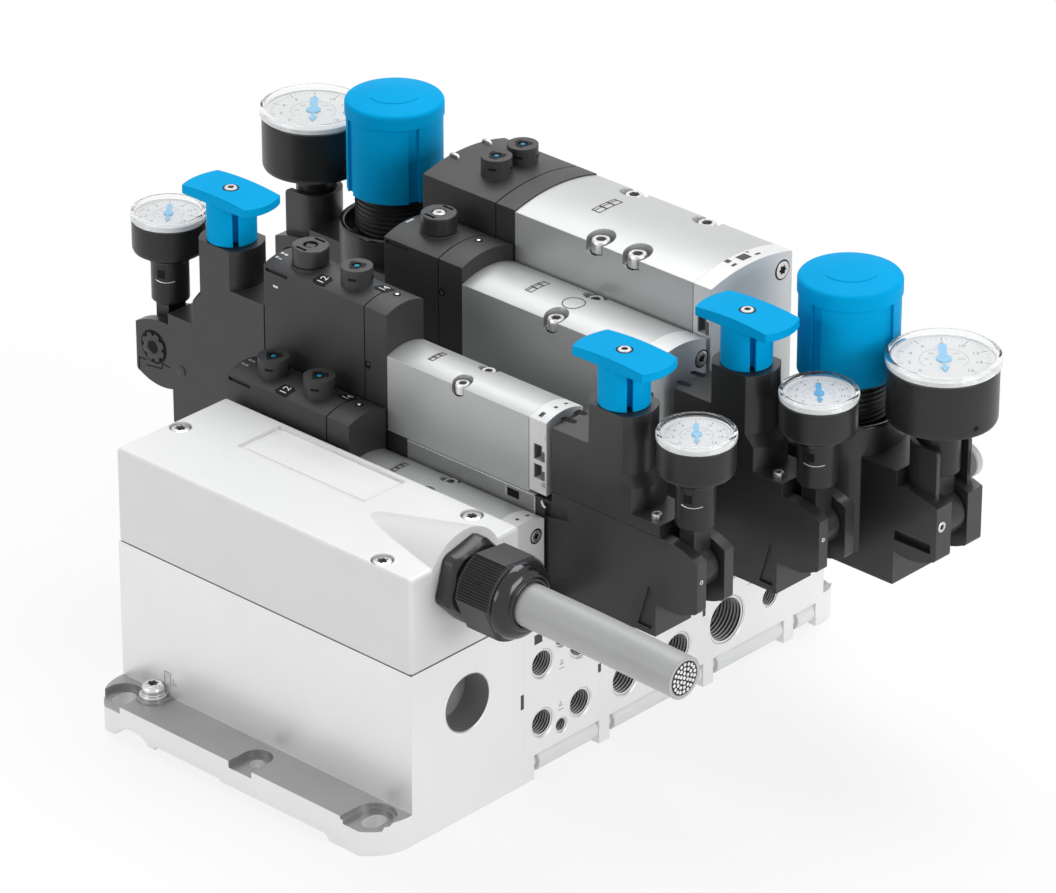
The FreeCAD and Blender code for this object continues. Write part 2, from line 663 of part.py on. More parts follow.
def block(y0, y1):
    """One block of the base row, without its ports."""
    body = box(-HALF_DEPTH, HALF_DEPTH, y0, y1, 0, BASE_HEIGHT)
    return body.cut(grooves(y0, y1))


def sub_base_small():
    middles = [HEAD_BACK + SMALL_PITCH * (turn + 0.5) for turn in range(2)]
    places = [(y, z) for y in middles for z in (LOWER_PORT_HEIGHT, UPPER_PORT_HEIGHT)]
    body = drilled(block(HEAD_BACK, SMALL_BASE_END), SMALL_PORT_RADIUS, SMALL_PORT_DEPTH, places)
    pilot_places = [(HEAD_BACK + SMALL_PITCH, z) for z in (LOWER_PILOT_PORT_HEIGHT, UPPER_PILOT_PORT_HEIGHT)]
    return drilled(body, PILOT_PORT_RADIUS, PILOT_PORT_DEPTH, pilot_places, PILOT_PORT_CHAMFER)


def sub_base_medium():
    middles = [SMALL_BASE_END + MEDIUM_PITCH * (turn + 0.5) for turn in range(2)]
    places = [(y, z) for y in middles for z in (LOWER_PORT_HEIGHT, MEDIUM_UPPER_PORT_HEIGHT)]
    return drilled(block(SMALL_BASE_END, MEDIUM_BASE_END), MEDIUM_PORT_RADIUS, MEDIUM_PORT_DEPTH, places)


def sub_base_large():
    y = MEDIUM_BASE_END + LARGE_PORT_OFFSET
    places = [(y, z) for z in (LARGE_LOWER_PORT_HEIGHT, LARGE_UPPER_PORT_HEIGHT)]
    body = drilled(block(MEDIUM_BASE_END, LARGE_BASE_END), LARGE_PORT_RADIUS, LARGE_PORT_DEPTH, places)
    vent = (MEDIUM_BASE_END + VENT_PORT_OFFSET, LARGE_LOWER_PORT_HEIGHT)
    return drilled(body, VENT_PORT_RADIUS, VENT_PORT_DEPTH, [vent], PILOT_PORT_CHAMFER)


def end_plate():
    end = LARGE_BASE_END + END_PLATE_LENGTH
    body = box(-HALF_DEPTH, HALF_DEPTH, LARGE_BASE_END, end, 0, BASE_HEIGHT)
    back = flange(END_FLANGE_REACH, END_SLOT_OFFSET)
    back.rotate(Vector(0, 0, 0), Vector(0, 0, 1), 180)
    back.translate(Vector(0, end, 0))
    inner = HALF_DEPTH - GROOVE_DEPTH
    stop = end - CASTING_WALL
    for side in (-1, 1):
        low = box(inner, HALF_DEPTH + 1, LARGE_BASE_END + GROOVE_WALL, stop, -1, GROOVE_HEIGHT)
        if side < 0:
            low.rotate(Vector(0, (LARGE_BASE_END + GROOVE_WALL + stop) / 2, 0), Vector(0, 0, 1), 180)
        body = body.cut(low)
        body = body.cut(along_y(TIE_STUD_RADIUS + TIE_CLEARANCE, side * tie_x(), LARGE_BASE_END - 1,
                                LARGE_BASE_END + GROOVE_WALL + 1, tie_z()))
    return fused(body, back)


def tie_rods():
    """Studs through each block's end wall, with the round bars that fill the grooves."""
    rods = []
    ends = [HEAD_BACK, SMALL_BASE_END, MEDIUM_BASE_END, LARGE_BASE_END]
    stops = ends[1:] + [LARGE_BASE_END + END_PLATE_LENGTH - CASTING_WALL]
    for side in (-1, 1):
        for start, stop in zip(ends, stops):
            shoulder = start + GROOVE_WALL + TIE_STUD_LENGTH
            stud = along_y(TIE_STUD_RADIUS, side * tie_x(), start, shoulder, tie_z())
            bar = along_y(TIE_ROD_RADIUS, side * tie_x(), shoulder, stop, tie_z())
            rods.append(fused(stud, bar))
    return Part.makeCompound(rods)


def station_y(name):
    """Middle of each valve place along the row."""
    places = {
        "small_1": HEAD_BACK + SMALL_PITCH / 2,
        "small_2": HEAD_BACK + 1.5 * SMALL_PITCH,
        "blank": SMALL_BASE_END + MEDIUM_PITCH / 2,
        "medium": SMALL_BASE_END + 1.5 * MEDIUM_PITCH,
        "large": MEDIUM_BASE_END + LARGE_PITCH / 2}
    return places[name]


def blanking_plate():
    y = station_y("blank")
    half = MEDIUM_VALVE.width / 2
    plate = box(-BLANKING_LENGTH / 2, BLANKING_LENGTH / 2, y - half, y + half, BASE_HEIGHT,
                BASE_HEIGHT + BLANKING_HEIGHT)
    return softened(plate, 2.0, is_upright)


def regulator_plate(width, y, left, right):
    """The block between sub-base and valve, with a ledge along the top of its sides."""
    plate = box(left, right, y - width / 2, y + width / 2, BASE_HEIGHT, RAISED_SEAT)
    ledge_z = BASE_HEIGHT + PLATE_LEDGE_HEIGHT
    for side in (-1, 1):
        face = y + side * width / 2
        low, high = sorted((face, face - side * PLATE_LEDGE_DEPTH))
        plate = plate.cut(box(left + PLATE_LEDGE_INSET, right - PLATE_LEDGE_INSET, low, high,
                              BASE_HEIGHT - 1, ledge_z))
    return plate


def valve_body(size, y, seat):
    end = size.seam_x + size.body_length
    body = crowned(size.seam_x, end, y, size.width, seat, seat + size.body_height, size.crown)
    floor = seat + size.body_height - size.pocket_depth
    top = seat + size.body_height + size.crown + 1
    for side, places in ((-1, size.near_screws), (1, size.far_screws)):
        for place in places:
            across = y + side * (size.width / 2 - size.screw_inset)
            body = body.cut(upright(size.pocket_radius, size.seam_x + place, across, floor, top))
    return body.cut(along_x(size.spool_radius + RUNNING_FIT, size.seam_x - 1, end + 1, y,
                            seat + size.spool_height))


def valve_end_cap(size, y, seat):
    start = size.seam_x + size.body_length
    end = start + size.cap_length
    cap = crowned(start, end, y, size.width, seat + END_CAP_LIFT, seat + size.body_height, size.crown)
    for low, height in size.pockets:
        for side in (-1, 1):
            face = y + side * size.width / 2
            edges = sorted((face + side, face - side * END_CAP_POCKET_DEPTH))
            cap = cap.cut(box(start + 2.2, end - 2.0, edges[0], edges[1], seat + low, seat + low + height))
    return cap


def spool(size, y, seat):
    """A turned spool with sealing lands, shorter than its bore by the travel."""
    length = size.body_length - SPOOL_TRAVEL - 2 * SIDE_CLEARANCE
    start = size.seam_x + SIDE_CLEARANCE
    z = seat + size.spool_height
    neck = size.spool_radius * SPOOL_NECK_RATIO
    body = along_x(neck, start, start + length, y, z)
    land = length / (2 * SPOOL_LANDS - 1)
    lands = [along_x(size.spool_radius, start + 2 * land * turn, start + 2 * land * turn + land, y, z)
             for turn in range(SPOOL_LANDS)]
    return fused(body, *lands)


def pilot_top(size, seat):
    return seat + size.pilot_height + size.crown


def pilot(size, y, seat, collars, caps):
    """The black pilot housing with the collars of its plungers and the seats of its turning caps."""
    start = size.seam_x - size.pilot_length
    body = crowned(start, size.seam_x, y, size.width, seat, seat + size.pilot_height, size.crown)
    split = size.seam_x - size.split_offset
    ring = crowned(split, split + SPLIT_GROOVE, y, size.width + 2, seat - 1,
                   seat + size.pilot_height + 1, size.crown)
    core = crowned(split - 1, split + SPLIT_GROOVE + 1, y, size.width - 2 * SPLIT_GROOVE, seat - 2,
                   seat + size.pilot_height - SPLIT_GROOVE, size.crown)
    body = body.cut(ring.cut(core))
    if size.width < LARGE_VALVE.width:
        near = y - size.width / 2
        slot_top = seat + size.pilot_height - SIDE_SLOT_DROP
        body = body.cut(box(start + SIDE_SLOT_START, start + SIDE_SLOT_START + SIDE_SLOT_LENGTH, near - 1,
                            near + SIDE_SLOT_DEPTH, slot_top - SIDE_SLOT_HEIGHT, slot_top))
    top = pilot_top(size, seat)
    for back, across in collars:
        x = size.seam_x - back
        body = fused(body, upright(COLLAR_RADIUS, x, y + across, top - size.crown - 2, top + COLLAR_HEIGHT))
        floor = top + COLLAR_HEIGHT - PLUNGER_LENGTH - PLUNGER_TRAVEL - 2 * SIDE_CLEARANCE
        body = body.cut(upright(PLUNGER_RADIUS + RUNNING_FIT, x, y + across, floor, top + COLLAR_HEIGHT + 1))
    for back, across in caps:
        x = size.seam_x - back
        body = fused(body, upright(SEAT_RADIUS, x, y + across, top - size.crown - 2, top + SEAT_RISE))
        body = body.cut(upright(CAP_PIN_RADIUS + RUNNING_FIT, x, y + across,
                                top - CAP_PIN_LENGTH - SIDE_CLEARANCE, top + SEAT_RISE + 1))
    return body


def plunger(size, y, seat, back, across):
    """A round button with a crossed slot, just below the rim of its collar."""
    x = size.seam_x - back
    top = pilot_top(size, seat) + COLLAR_HEIGHT - SIDE_CLEARANCE
    body = upright(PLUNGER_RADIUS, x, y + across, top - PLUNGER_LENGTH, top)
    slot = 0.35 * PLUNGER_RADIUS
    return body.cut(box(x - PLUNGER_RADIUS, x + PLUNGER_RADIUS, y + across - slot / 2, y + across + slot / 2,
                        top - slot, top + 1))


def turning_cap(size, y, seat, back, across):
    """A round cap on a pin, with a recess in the middle and two slots near its rim."""
    x = size.seam_x - back
    low = pilot_top(size, seat) + SEAT_RISE + SIDE_CLEARANCE
    cap = upright(CAP_RADIUS, x, y + across, low, low + CAP_HEIGHT)
    cap = softened(cap, 0.6, lambda edge: lies_at(edge, low + CAP_HEIGHT))
    floor = low + CAP_HEIGHT - CAP_SLOT_DEPTH
    middle = y + across
    for side in (-1, 1):
        slot_y = middle + side * CAP_SLOT_OFFSET
        cap = cap.cut(box(x - CAP_SLOT_LENGTH / 2, x + CAP_SLOT_LENGTH / 2, slot_y - CAP_SLOT_WIDTH / 2,
                          slot_y + CAP_SLOT_WIDTH / 2, floor, low + CAP_HEIGHT + 1))
    cap = cap.cut(upright(CAP_RECESS_RADIUS, x, middle, floor, low + CAP_HEIGHT + 1))
    pin = upright(CAP_PIN_RADIUS, x, y + across, low - SEAT_RISE - SIDE_CLEARANCE - CAP_PIN_LENGTH + 0.3, low)
    return fused(cap, pin)


def placed(shape, centre_x, y, faces_left):
    """Sets a piece drawn outward from the plate's middle at its place, to the left or the right."""
    if faces_left:
        shape.rotate(Vector(0, 0, 0), Vector(0, 0, 1), 180)
    shape.translate(Vector(centre_x, y, BASE_HEIGHT))
    return shape


def fork_outline(foot_outer, setback, face, block_top, fork_top, shoulder):
    """Side view of a regulator's lower housing: flat underside, foot and the round lobe of its fork."""
    foot = foot_outer - setback
    return [
        (PLATE_END, UNDERSIDE), (foot, UNDERSIDE), (foot, LOBE_START),
        ((0.5 * (foot + face), LOBE_BELLY), (face - LOBE_EDGE, LOBE_END)),
        ((face - 0.3 * LOBE_EDGE, LOBE_END + 0.3 * LOBE_EDGE), (face, LOBE_END + LOBE_EDGE)),
        (face, shoulder),
        ((0.45 * foot_outer + 0.55 * face, fork_top - 0.9), (foot_outer + 0.3, fork_top)),
        (foot_outer + 0.3, block_top)]


def fork_cuts(foot_outer, face, pivot, slot_width):
    """The slot between the prongs and the two blind bores of the gauge's pins."""
    half = slot_width / 2
    cuts = [box(foot_outer + 0.3, face + 1, -half, half, LOBE_BELLY - 1, LARGE_BLOCK_TOP + 1)]
    depth = half + PIVOT_PIN_SINK + SIDE_CLEARANCE
    cuts.append(along_y(PIVOT_PIN_RADIUS + RUNNING_FIT, pivot, -depth, depth, PIVOT_HEIGHT))
    return cuts


def foot_tab(foot_outer):
    """The small stepped catch under the fork."""
    length, width, height = FOOT_TAB
    return box(foot_outer - 2, foot_outer + length, -width / 2, width / 2, FOOT_TAB_TOP - height,
               FOOT_TAB_TOP)


def small_regulator_marks(half):
    """Cuts in the near side of a small housing: the seam, the catch's notch and a slanted groove."""
    near = -half
    seam = box(SMALL_UPPER_INNER, SMALL_FOOT_OUTER, near - 1, near + SEAM_WIDTH,
               SPLIT_HEIGHT - SEAM_WIDTH / 2, SPLIT_HEIGHT + SEAM_WIDTH / 2)
    end = REGULATOR_INNER + CATCH_NOTCH_LENGTH
    top = CATCH_NOTCH_TOP
    notch_steps = [
        (REGULATOR_INNER, top - CATCH_NOTCH_DROP), (end, top - 0.6 * CATCH_NOTCH_DROP), (end - 1, top),
        (REGULATOR_INNER, top)]
    notch = prism_across(notch_steps, near - 1, near + CATCH_NOTCH_DEPTH)
    right = SMALL_FOOT_OUTER - LABEL_GROOVE_INSET
    groove_steps = [
        (right - LABEL_GROOVE_FOOT, LABEL_GROOVE_BOTTOM), (right, LABEL_GROOVE_BOTTOM),
        (right, LABEL_GROOVE_TOP - 1), (right - LABEL_GROOVE_TIP, LABEL_GROOVE_TOP)]
    groove = prism_across(groove_steps, near - 1, near + LABEL_GROOVE_DEPTH)
    return [seam, notch, groove]


def small_regulator(centre_x, y, faces_left):
    half = SMALL_REGULATOR_WIDTH / 2
    steps = fork_outline(SMALL_FOOT_OUTER, SMALL_FOOT_SETBACK, SMALL_FACE, SPLIT_HEIGHT, SPLIT_HEIGHT,
                         SMALL_LOBE_SHOULDER)
    steps = steps[:-1] + [(SMALL_UPPER_INNER, SPLIT_HEIGHT), (SMALL_UPPER_INNER, REGULATOR_SPIGOT_HEIGHT),
                          (PLATE_END, REGULATOR_SPIGOT_HEIGHT)]
    lower = prism_across(steps, -half, half)
    lower = lower.cut(fork_cuts(SMALL_FOOT_OUTER, SMALL_FACE, SMALL_PIVOT_AXIS, SMALL_SLOT_WIDTH))
    axis = SMALL_KNOB_AXIS
    upper = box(SMALL_UPPER_INNER, axis, -half, half, SPLIT_HEIGHT, UPPER_TOP)
    step = box(axis, SMALL_FOOT_OUTER + 0.3, -half, half, SPLIT_HEIGHT, STEP_HEIGHT)
    bulge = upright(HOUSING_BULGE_RADIUS, axis, 0, SPLIT_HEIGHT, BULGE_TOP)
    cone = Part.makeCone(HOUSING_BULGE_RADIUS, HOUSING_COLLAR_RADIUS, CONE_TOP - BULGE_TOP,
                         Vector(axis, 0, BULGE_TOP))
    collar = upright(HOUSING_COLLAR_RADIUS, axis, 0, SPLIT_HEIGHT, COLLAR_TOP)
    rounds = bulge.fuse([cone, collar]).common(
        box(SMALL_UPPER_INNER, 2 * axis, -half, half, 0, COLLAR_TOP + 1))
    housing = fused(lower, upper, step, rounds, foot_tab(SMALL_FOOT_OUTER))
    housing = housing.cut(spindle_bore(axis, COLLAR_TOP))
    if not faces_left:
        housing = housing.cut(small_regulator_marks(half))
    return placed(housing, centre_x, y, faces_left)


def gauge_shield():
    """A shell round the inner half of the gauge's adapter, with a round back and straight sides."""
    centre = LARGE_PIVOT_AXIS - SHIELD_INSET
    edge = LARGE_PIVOT_AXIS + SHIELD_REACH
    inner = SHIELD_RADIUS - SHIELD_WALL
    high = SHIELD_TOP - SHIELD_CORNER
    turn = SHIELD_TOP - 0.3 * SHIELD_CORNER
    sides = prism_across(
        [(centre, SHIELD_BOTTOM), (edge, SHIELD_BOTTOM), (edge, high),
         ((edge - 0.3 * SHIELD_CORNER, turn), (edge - SHIELD_CORNER, SHIELD_TOP)), (centre, SHIELD_TOP)],
        -SHIELD_RADIUS, SHIELD_RADIUS)
    back = upright(SHIELD_RADIUS, centre, 0, SHIELD_BOTTOM, SHIELD_TOP)
    back = back.common(box(centre - SHIELD_RADIUS, centre, -SHIELD_RADIUS, SHIELD_RADIUS, SHIELD_BOTTOM,
                           SHIELD_TOP))
    hollow = box(centre, edge + 1, -inner, inner, SHIELD_BOTTOM - 1, SHIELD_TOP + 1)
    return fused(sides, back).cut([hollow, upright(inner, centre, 0, SHIELD_BOTTOM - 1, SHIELD_TOP + 1)])


def spindle_bore(axis, top):
    return upright(SPINDLE_RADIUS + RUNNING_FIT, axis, 0, top - SPINDLE_SINK - SIDE_CLEARANCE, top + 1)


def large_regulator(centre_x, y, faces_left):
    half = LARGE_REGULATOR_WIDTH / 2
    fork_half = LARGE_FORK_WIDTH / 2
    axis = LARGE_KNOB_AXIS
    body = box(PLATE_END, axis, -half, half, UNDERSIDE, REGULATOR_SPIGOT_HEIGHT)
    body = body.fuse(box(LARGE_UPPER_INNER, axis, -half, half, REGULATOR_SPIGOT_HEIGHT, LARGE_BLOCK_TOP))
    steps = fork_outline(LARGE_FOOT_OUTER, LARGE_FOOT_SETBACK, LARGE_FACE, LARGE_BLOCK_TOP, LARGE_FORK_TOP,
                         LARGE_LOBE_SHOULDER)
    steps = [(axis, UNDERSIDE)] + steps[1:] + [(axis, LARGE_BLOCK_TOP)]
    fork = fused(prism_across(steps, -fork_half, fork_half), gauge_shield())
    fork = fork.cut(fork_cuts(LARGE_FOOT_OUTER, LARGE_FACE, LARGE_PIVOT_AXIS, LARGE_SLOT_WIDTH))
    length, height, depth = SIDE_POCKET
    for side in (-1, 1):
        edges = sorted((side * (fork_half + 1), side * (fork_half - depth)))
        fork = fork.cut(box(LARGE_FOOT_OUTER, LARGE_FOOT_OUTER + length, edges[0], edges[1],
                            SIDE_POCKET_HEIGHT, SIDE_POCKET_HEIGHT + height))
    cup = upright(LARGE_CUP_RADIUS, axis, 0, LARGE_CUP_BOTTOM, LARGE_CUP_TOP)
    housing = fused(body, fork, cup, foot_tab(LARGE_FOOT_OUTER))
    moat = upright(LARGE_CUP_RADIUS - LARGE_CUP_WALL, axis, 0, LARGE_CUP_TOP - LARGE_CUP_DEPTH,
                   LARGE_CUP_TOP + 1)
    bonnet = upright(BONNET_RADIUS, axis, 0, LARGE_CUP_TOP - LARGE_CUP_DEPTH - 1, BONNET_TOP)
    housing = fused(housing.cut(moat), bonnet)
    housing = housing.cut(spindle_bore(axis, BONNET_TOP))
    return placed(housing, centre_x, y, faces_left)


def spindle(axis, top, knob_bore_top, centre_x, y, faces_left):
    body = upright(SPINDLE_RADIUS, axis, 0, top - SPINDLE_SINK, knob_bore_top - SIDE_CLEARANCE)
    return placed(body, centre_x, y, faces_left)


def t_knob_bore_top():
    return COLLAR_TOP + KNOB_GAP + T_NECK_HEIGHT - 1.0


def round_knob_bore_top():
    return BONNET_TOP + KNOB_GAP + ROUND_KNOB_HEIGHT - 6.0


def t_knob(centre_x, y, faces_left):
    """A turning handle: a slotted round neck under an arched bar."""
    low = COLLAR_TOP + KNOB_GAP
    bar_low = low + T_NECK_HEIGHT
    half = T_BAR_LENGTH / 2
    reach = half + T_BAR_BULGE
    side = T_BAR_WIDTH / 2
    plan = [(-half, -side), (half, -side), ((reach, 0), (half, side)), (-half, side),
            ((-reach, 0), (-half, -side))]
    section = [
        (-reach - 1, bar_low), (reach + 1, bar_low), (reach + 1, bar_low + T_BAR_THICKNESS),
        ((0, bar_low + T_BAR_THICKNESS + T_BAR_CROWN), (-reach - 1, bar_low + T_BAR_THICKNESS))]
    bar_top = bar_low + T_BAR_THICKNESS + T_BAR_CROWN
    bar = prism_up(plan, bar_low - 1, bar_top + 1).common(prism_across(section, -side - 1, side + 1))
    knob = fused(bar, upright(T_NECK_RADIUS, 0, 0, low, bar_low))
    slot = box(T_NECK_RADIUS - T_SLOT_DEPTH, T_NECK_RADIUS + 1, -T_SLOT_WIDTH / 2, T_SLOT_WIDTH / 2, low - 1,
               bar_low)
    slot.rotate(Vector(0, 0, 0), Vector(0, 0, 1), T_SLOT_ANGLE)
    opposite = slot.copy()
    opposite.rotate(Vector(0, 0, 0), Vector(0, 0, 1), 180)
    knob = knob.cut([slot, opposite, upright(SPINDLE_RADIUS + RUNNING_FIT, 0, 0, low - 1, t_knob_bore_top())])
    knob.translate(Vector(SMALL_KNOB_AXIS, 0, 0))
    return placed(knob, centre_x, y, faces_left)


def round_knob(centre_x, y, faces_left, turned_by):
    """A turned knob with a domed top, a wider band round its upper end and upright slots below it."""
    low = BONNET_TOP + KNOB_GAP
    rim = low + ROUND_KNOB_HEIGHT
    band = low + ROUND_KNOB_BAND_START
    radius = ROUND_KNOB_RADIUS
    top = upright(radius, 0, 0, band, rim + ROUND_KNOB_DOME)
    dome_radius = (radius ** 2 + ROUND_KNOB_DOME ** 2) / (2 * ROUND_KNOB_DOME)
    dome_centre = Vector(0, 0, rim + ROUND_KNOB_DOME - dome_radius)
    top = top.common(Part.makeSphere(dome_radius, dome_centre))
    top = softened(top, ROUND_KNOB_EDGE, lambda edge: lies_at(edge, rim))
    knob = fused(top, upright(ROUND_KNOB_BODY_RADIUS, 0, 0, low, band))
    reach = ROUND_KNOB_BODY_RADIUS - KNOB_SLOT_DEPTH
    for turn in range(ROUND_KNOB_SLOTS):
        slot = box(reach, radius + 1, -KNOB_SLOT_WIDTH / 2, KNOB_SLOT_WIDTH / 2, low - 1, band)
        slot.rotate(Vector(0, 0, 0), Vector(0, 0, 1), turned_by + 360 / ROUND_KNOB_SLOTS * turn)
        knob = knob.cut(slot)
    knob = knob.cut(upright(SPINDLE_RADIUS + RUNNING_FIT, 0, 0, low - 1, round_knob_bore_top()))
    knob.translate(Vector(LARGE_KNOB_AXIS, 0, 0))
    return placed(knob, centre_x, y, faces_left)


def gauge(size, pivot, foot_outer, slot_width, centre_x, y, faces_left):
    """A round gauge on an adapter, with the barrel and pins on which it swivels."""
    half = slot_width / 2 - SIDE_CLEARANCE
    barrel_radius = pivot - foot_outer - 0.3 - BARREL_GAP
    barrel = along_y(barrel_radius, pivot, -half, half, PIVOT_HEIGHT)
    pin_reach = slot_width / 2 + PIVOT_PIN_SINK
    pins = along_y(PIVOT_PIN_RADIUS, pivot, -pin_reach, pin_reach, PIVOT_HEIGHT)
    neck = box(pivot - GAUGE_NECK_THICKNESS / 2, pivot + GAUGE_NECK_THICKNESS / 2, -half, half,
               PIVOT_HEIGHT, ADAPTER_BOTTOM + 1)
    flange_bottom = size.cup_bottom - GAUGE_FLANGE_HEIGHT
    adapter = upright(ADAPTER_RADIUS, pivot, 0, ADAPTER_BOTTOM, flange_bottom)
    collar = upright(GAUGE_FLANGE_RADIUS, pivot, 0, flange_bottom, size.cup_bottom)
    cup = upright(size.radius, pivot, 0, size.cup_bottom, size.ring_top)
    cup = cup.cut(upright(size.radius - GAUGE_RING_WALL, pivot, 0, size.ring_bottom, size.ring_top + 1))
    whole = fused(cup, collar, adapter, neck, barrel, pins)
    whole = whole.cut(upright(POINTER_PIN_RADIUS + RUNNING_FIT, pivot, 0,
                              size.ring_bottom - POINTER_PIN_LENGTH - SIDE_CLEARANCE, size.ring_bottom + 1))
    return placed(whole, centre_x, y, faces_left)


def pointer(size, pivot, centre_x, y, faces_left):
    """A flat pointer with a spade tip on a pin."""
    low = size.ring_bottom + POINTER_GAP
    reach = 0.72 * (size.radius - GAUGE_RING_WALL)
    tail = 0.4 * reach
    wide = 0.14 * reach
    steps = [
        (-tail, -wide), (-0.2 * reach, -0.6 * wide), (0.55 * reach, -0.5 * wide), (0.6 * reach, -wide),
        (reach, 0), (0.6 * reach, wide), (0.55 * reach, 0.5 * wide), (-0.2 * reach, 0.6 * wide),
        (-tail, wide)]
    blade = prism_up(steps, low, low + POINTER_THICKNESS)
    hub = upright(2 * wide, 0, 0, low, low + 1.5 * POINTER_THICKNESS)
    pin = upright(POINTER_PIN_RADIUS, 0, 0, size.ring_bottom - POINTER_PIN_LENGTH, low)
    whole = fused(blade, hub, pin)
    turn = POINTER_ANGLE + (180 if faces_left else 0)
    whole.rotate(Vector(0, 0, 0), Vector(0, 0, 1), turn)
    whole.translate(Vector(pivot, 0, 0))
    return placed(whole, centre_x, y, faces_left)


def base_nodes():
    return {
        "head_base": head_base(),
        "head_gasket": head_gasket(),
        "head_cover": head_cover(),
        "gland_body": gland_body(),
        "gland_nut": gland_nut(),
        "cable": cable(),
        "sub_base_1": sub_base_small(),
        "sub_base_2": sub_base_medium(),
        "sub_base_3": sub_base_large(),
        "end_plate": end_plate(),
        "tie_rods": tie_rods(),
        "blanking_plate": blanking_plate(),
        "regulator_plate_1": regulator_plate(
            SMALL_VALVE.width, station_y("small_2"), SMALL_CENTRE - PLATE_END, SMALL_CENTRE + PLATE_END),
        "regulator_plate_2": regulator_plate(
            MEDIUM_VALVE.width, station_y("medium"), MEDIUM_VALVE.seam_x - MEDIUM_VALVE.pilot_length,
            MEDIUM_CENTRE + PLATE_END),
        "regulator_plate_3": regulator_plate(
            LARGE_VALVE.width, station_y("large"), LARGE_CENTRE - PLATE_END, LARGE_CENTRE + PLATE_END)}


def valve_nodes():
    """Bodies, end caps, pilots, overrides and spools of the four valves."""
    rear = (SMALL_REAR_OVERRIDE, 0)
    front = (SMALL_FRONT_OVERRIDE, 0)
    middle = (MEDIUM_OVERRIDE, 0)
    pair = [(LARGE_OVERRIDE, -LARGE_OVERRIDE_OFFSET), (LARGE_OVERRIDE, LARGE_OVERRIDE_OFFSET)]
    valves = [
        ("1", SMALL_VALVE, station_y("small_1"), BASE_HEIGHT, [rear, front], []),
        ("2", SMALL_VALVE, station_y("small_2"), RAISED_SEAT, [front], [rear]),
        ("3", MEDIUM_VALVE, station_y("medium"), RAISED_SEAT, [], [middle]),
        ("4", LARGE_VALVE, station_y("large"), RAISED_SEAT, pair, [])]
    nodes = {}
    end_caps = []
    for name, size, y, seat, collars, caps in valves:
        nodes["valve_body_" + name] = valve_body(size, y, seat)
        nodes["pilot_" + name] = pilot(size, y, seat, collars, caps)
        nodes["spool_" + name] = spool(size, y, seat)
        end_caps.append(valve_end_cap(size, y, seat))
        for letter, (back, across) in zip("ab", collars):
            nodes["plunger_" + name + letter] = plunger(size, y, seat, back, across)
        for back, across in caps:
            nodes["turning_cap_" + name] = turning_cap(size, y, seat, back, across)
    nodes["valve_end_caps"] = Part.makeCompound(end_caps)
    return nodes


def regulator_nodes():
    """Housing, spindle, knob, gauge and pointer of each regulator."""
    small_y = station_y("small_2")
    large_y = station_y("large")
    small_sites = [("1_right", SMALL_CENTRE, small_y, False), ("1_left", SMALL_CENTRE, small_y, True),
                   ("2_right", MEDIUM_CENTRE, station_y("medium"), False)]
    large_sites = [("3_right", LARGE_CENTRE, large_y, False), ("3_left", LARGE_CENTRE, large_y, True)]
    nodes = {}
    for name, centre, y, left in small_sites:
        nodes["regulator_" + name] = small_regulator(centre, y, left)
        nodes["spindle_" + name] = spindle(SMALL_KNOB_AXIS, COLLAR_TOP, t_knob_bore_top(), centre, y, left)
        nodes["knob_" + name] = t_knob(centre, y, left)
        nodes["gauge_" + name] = gauge(SMALL_GAUGE, SMALL_PIVOT_AXIS, SMALL_FOOT_OUTER, SMALL_SLOT_WIDTH,
                                       centre, y, left)
        nodes["pointer_" + name] = pointer(SMALL_GAUGE, SMALL_PIVOT_AXIS, centre, y, left)
    for name, centre, y, left in large_sites:
        nodes["regulator_" + name] = large_regulator(centre, y, left)
        nodes["spindle_" + name] = spindle(LARGE_KNOB_AXIS, BONNET_TOP, round_knob_bore_top(), centre, y,
                                           left)
        nodes["knob_" + name] = round_knob(centre, y, left, LEFT_KNOB_TURN if left else 0)
        nodes["gauge_" + name] = gauge(LARGE_GAUGE, LARGE_PIVOT_AXIS, LARGE_FOOT_OUTER, LARGE_SLOT_WIDTH,
                                       centre, y, left)
        nodes["pointer_" + name] = pointer(LARGE_GAUGE, LARGE_PIVOT_AXIS, centre, y, left)
    return nodes


def main():
    os.makedirs("parts", exist_ok=True)
    for nodes in (base_nodes(), valve_nodes(), regulator_nodes()):
        for name, shape in nodes.items():
            shape.exportStep("parts/" + name + ".step")
            print(name, len(shape.Solids), shape.isValid(), round(shape.Volume))


main()
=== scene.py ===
from collections import namedtuple
from math import cos, pi, radians, sin, sqrt, tau

import bmesh
import bpy
from mathutils import Matrix, Vector


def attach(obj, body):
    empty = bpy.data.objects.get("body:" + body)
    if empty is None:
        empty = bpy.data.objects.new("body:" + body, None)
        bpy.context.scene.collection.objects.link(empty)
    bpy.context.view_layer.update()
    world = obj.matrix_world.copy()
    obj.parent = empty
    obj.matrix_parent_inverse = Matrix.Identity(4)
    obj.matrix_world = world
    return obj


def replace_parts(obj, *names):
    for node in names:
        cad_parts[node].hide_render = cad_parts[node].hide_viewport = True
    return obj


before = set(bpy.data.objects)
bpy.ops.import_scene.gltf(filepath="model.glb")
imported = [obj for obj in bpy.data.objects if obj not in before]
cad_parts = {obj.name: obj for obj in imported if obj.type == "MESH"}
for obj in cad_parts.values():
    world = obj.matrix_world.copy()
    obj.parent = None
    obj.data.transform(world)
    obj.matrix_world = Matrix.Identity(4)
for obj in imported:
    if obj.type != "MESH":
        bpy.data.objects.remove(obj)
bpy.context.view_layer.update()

MM = 0.001
UP = Vector((0, 0, 1))
PLUS_X = Vector((1, 0, 0))
PLUS_Y = Vector((0, 1, 0))

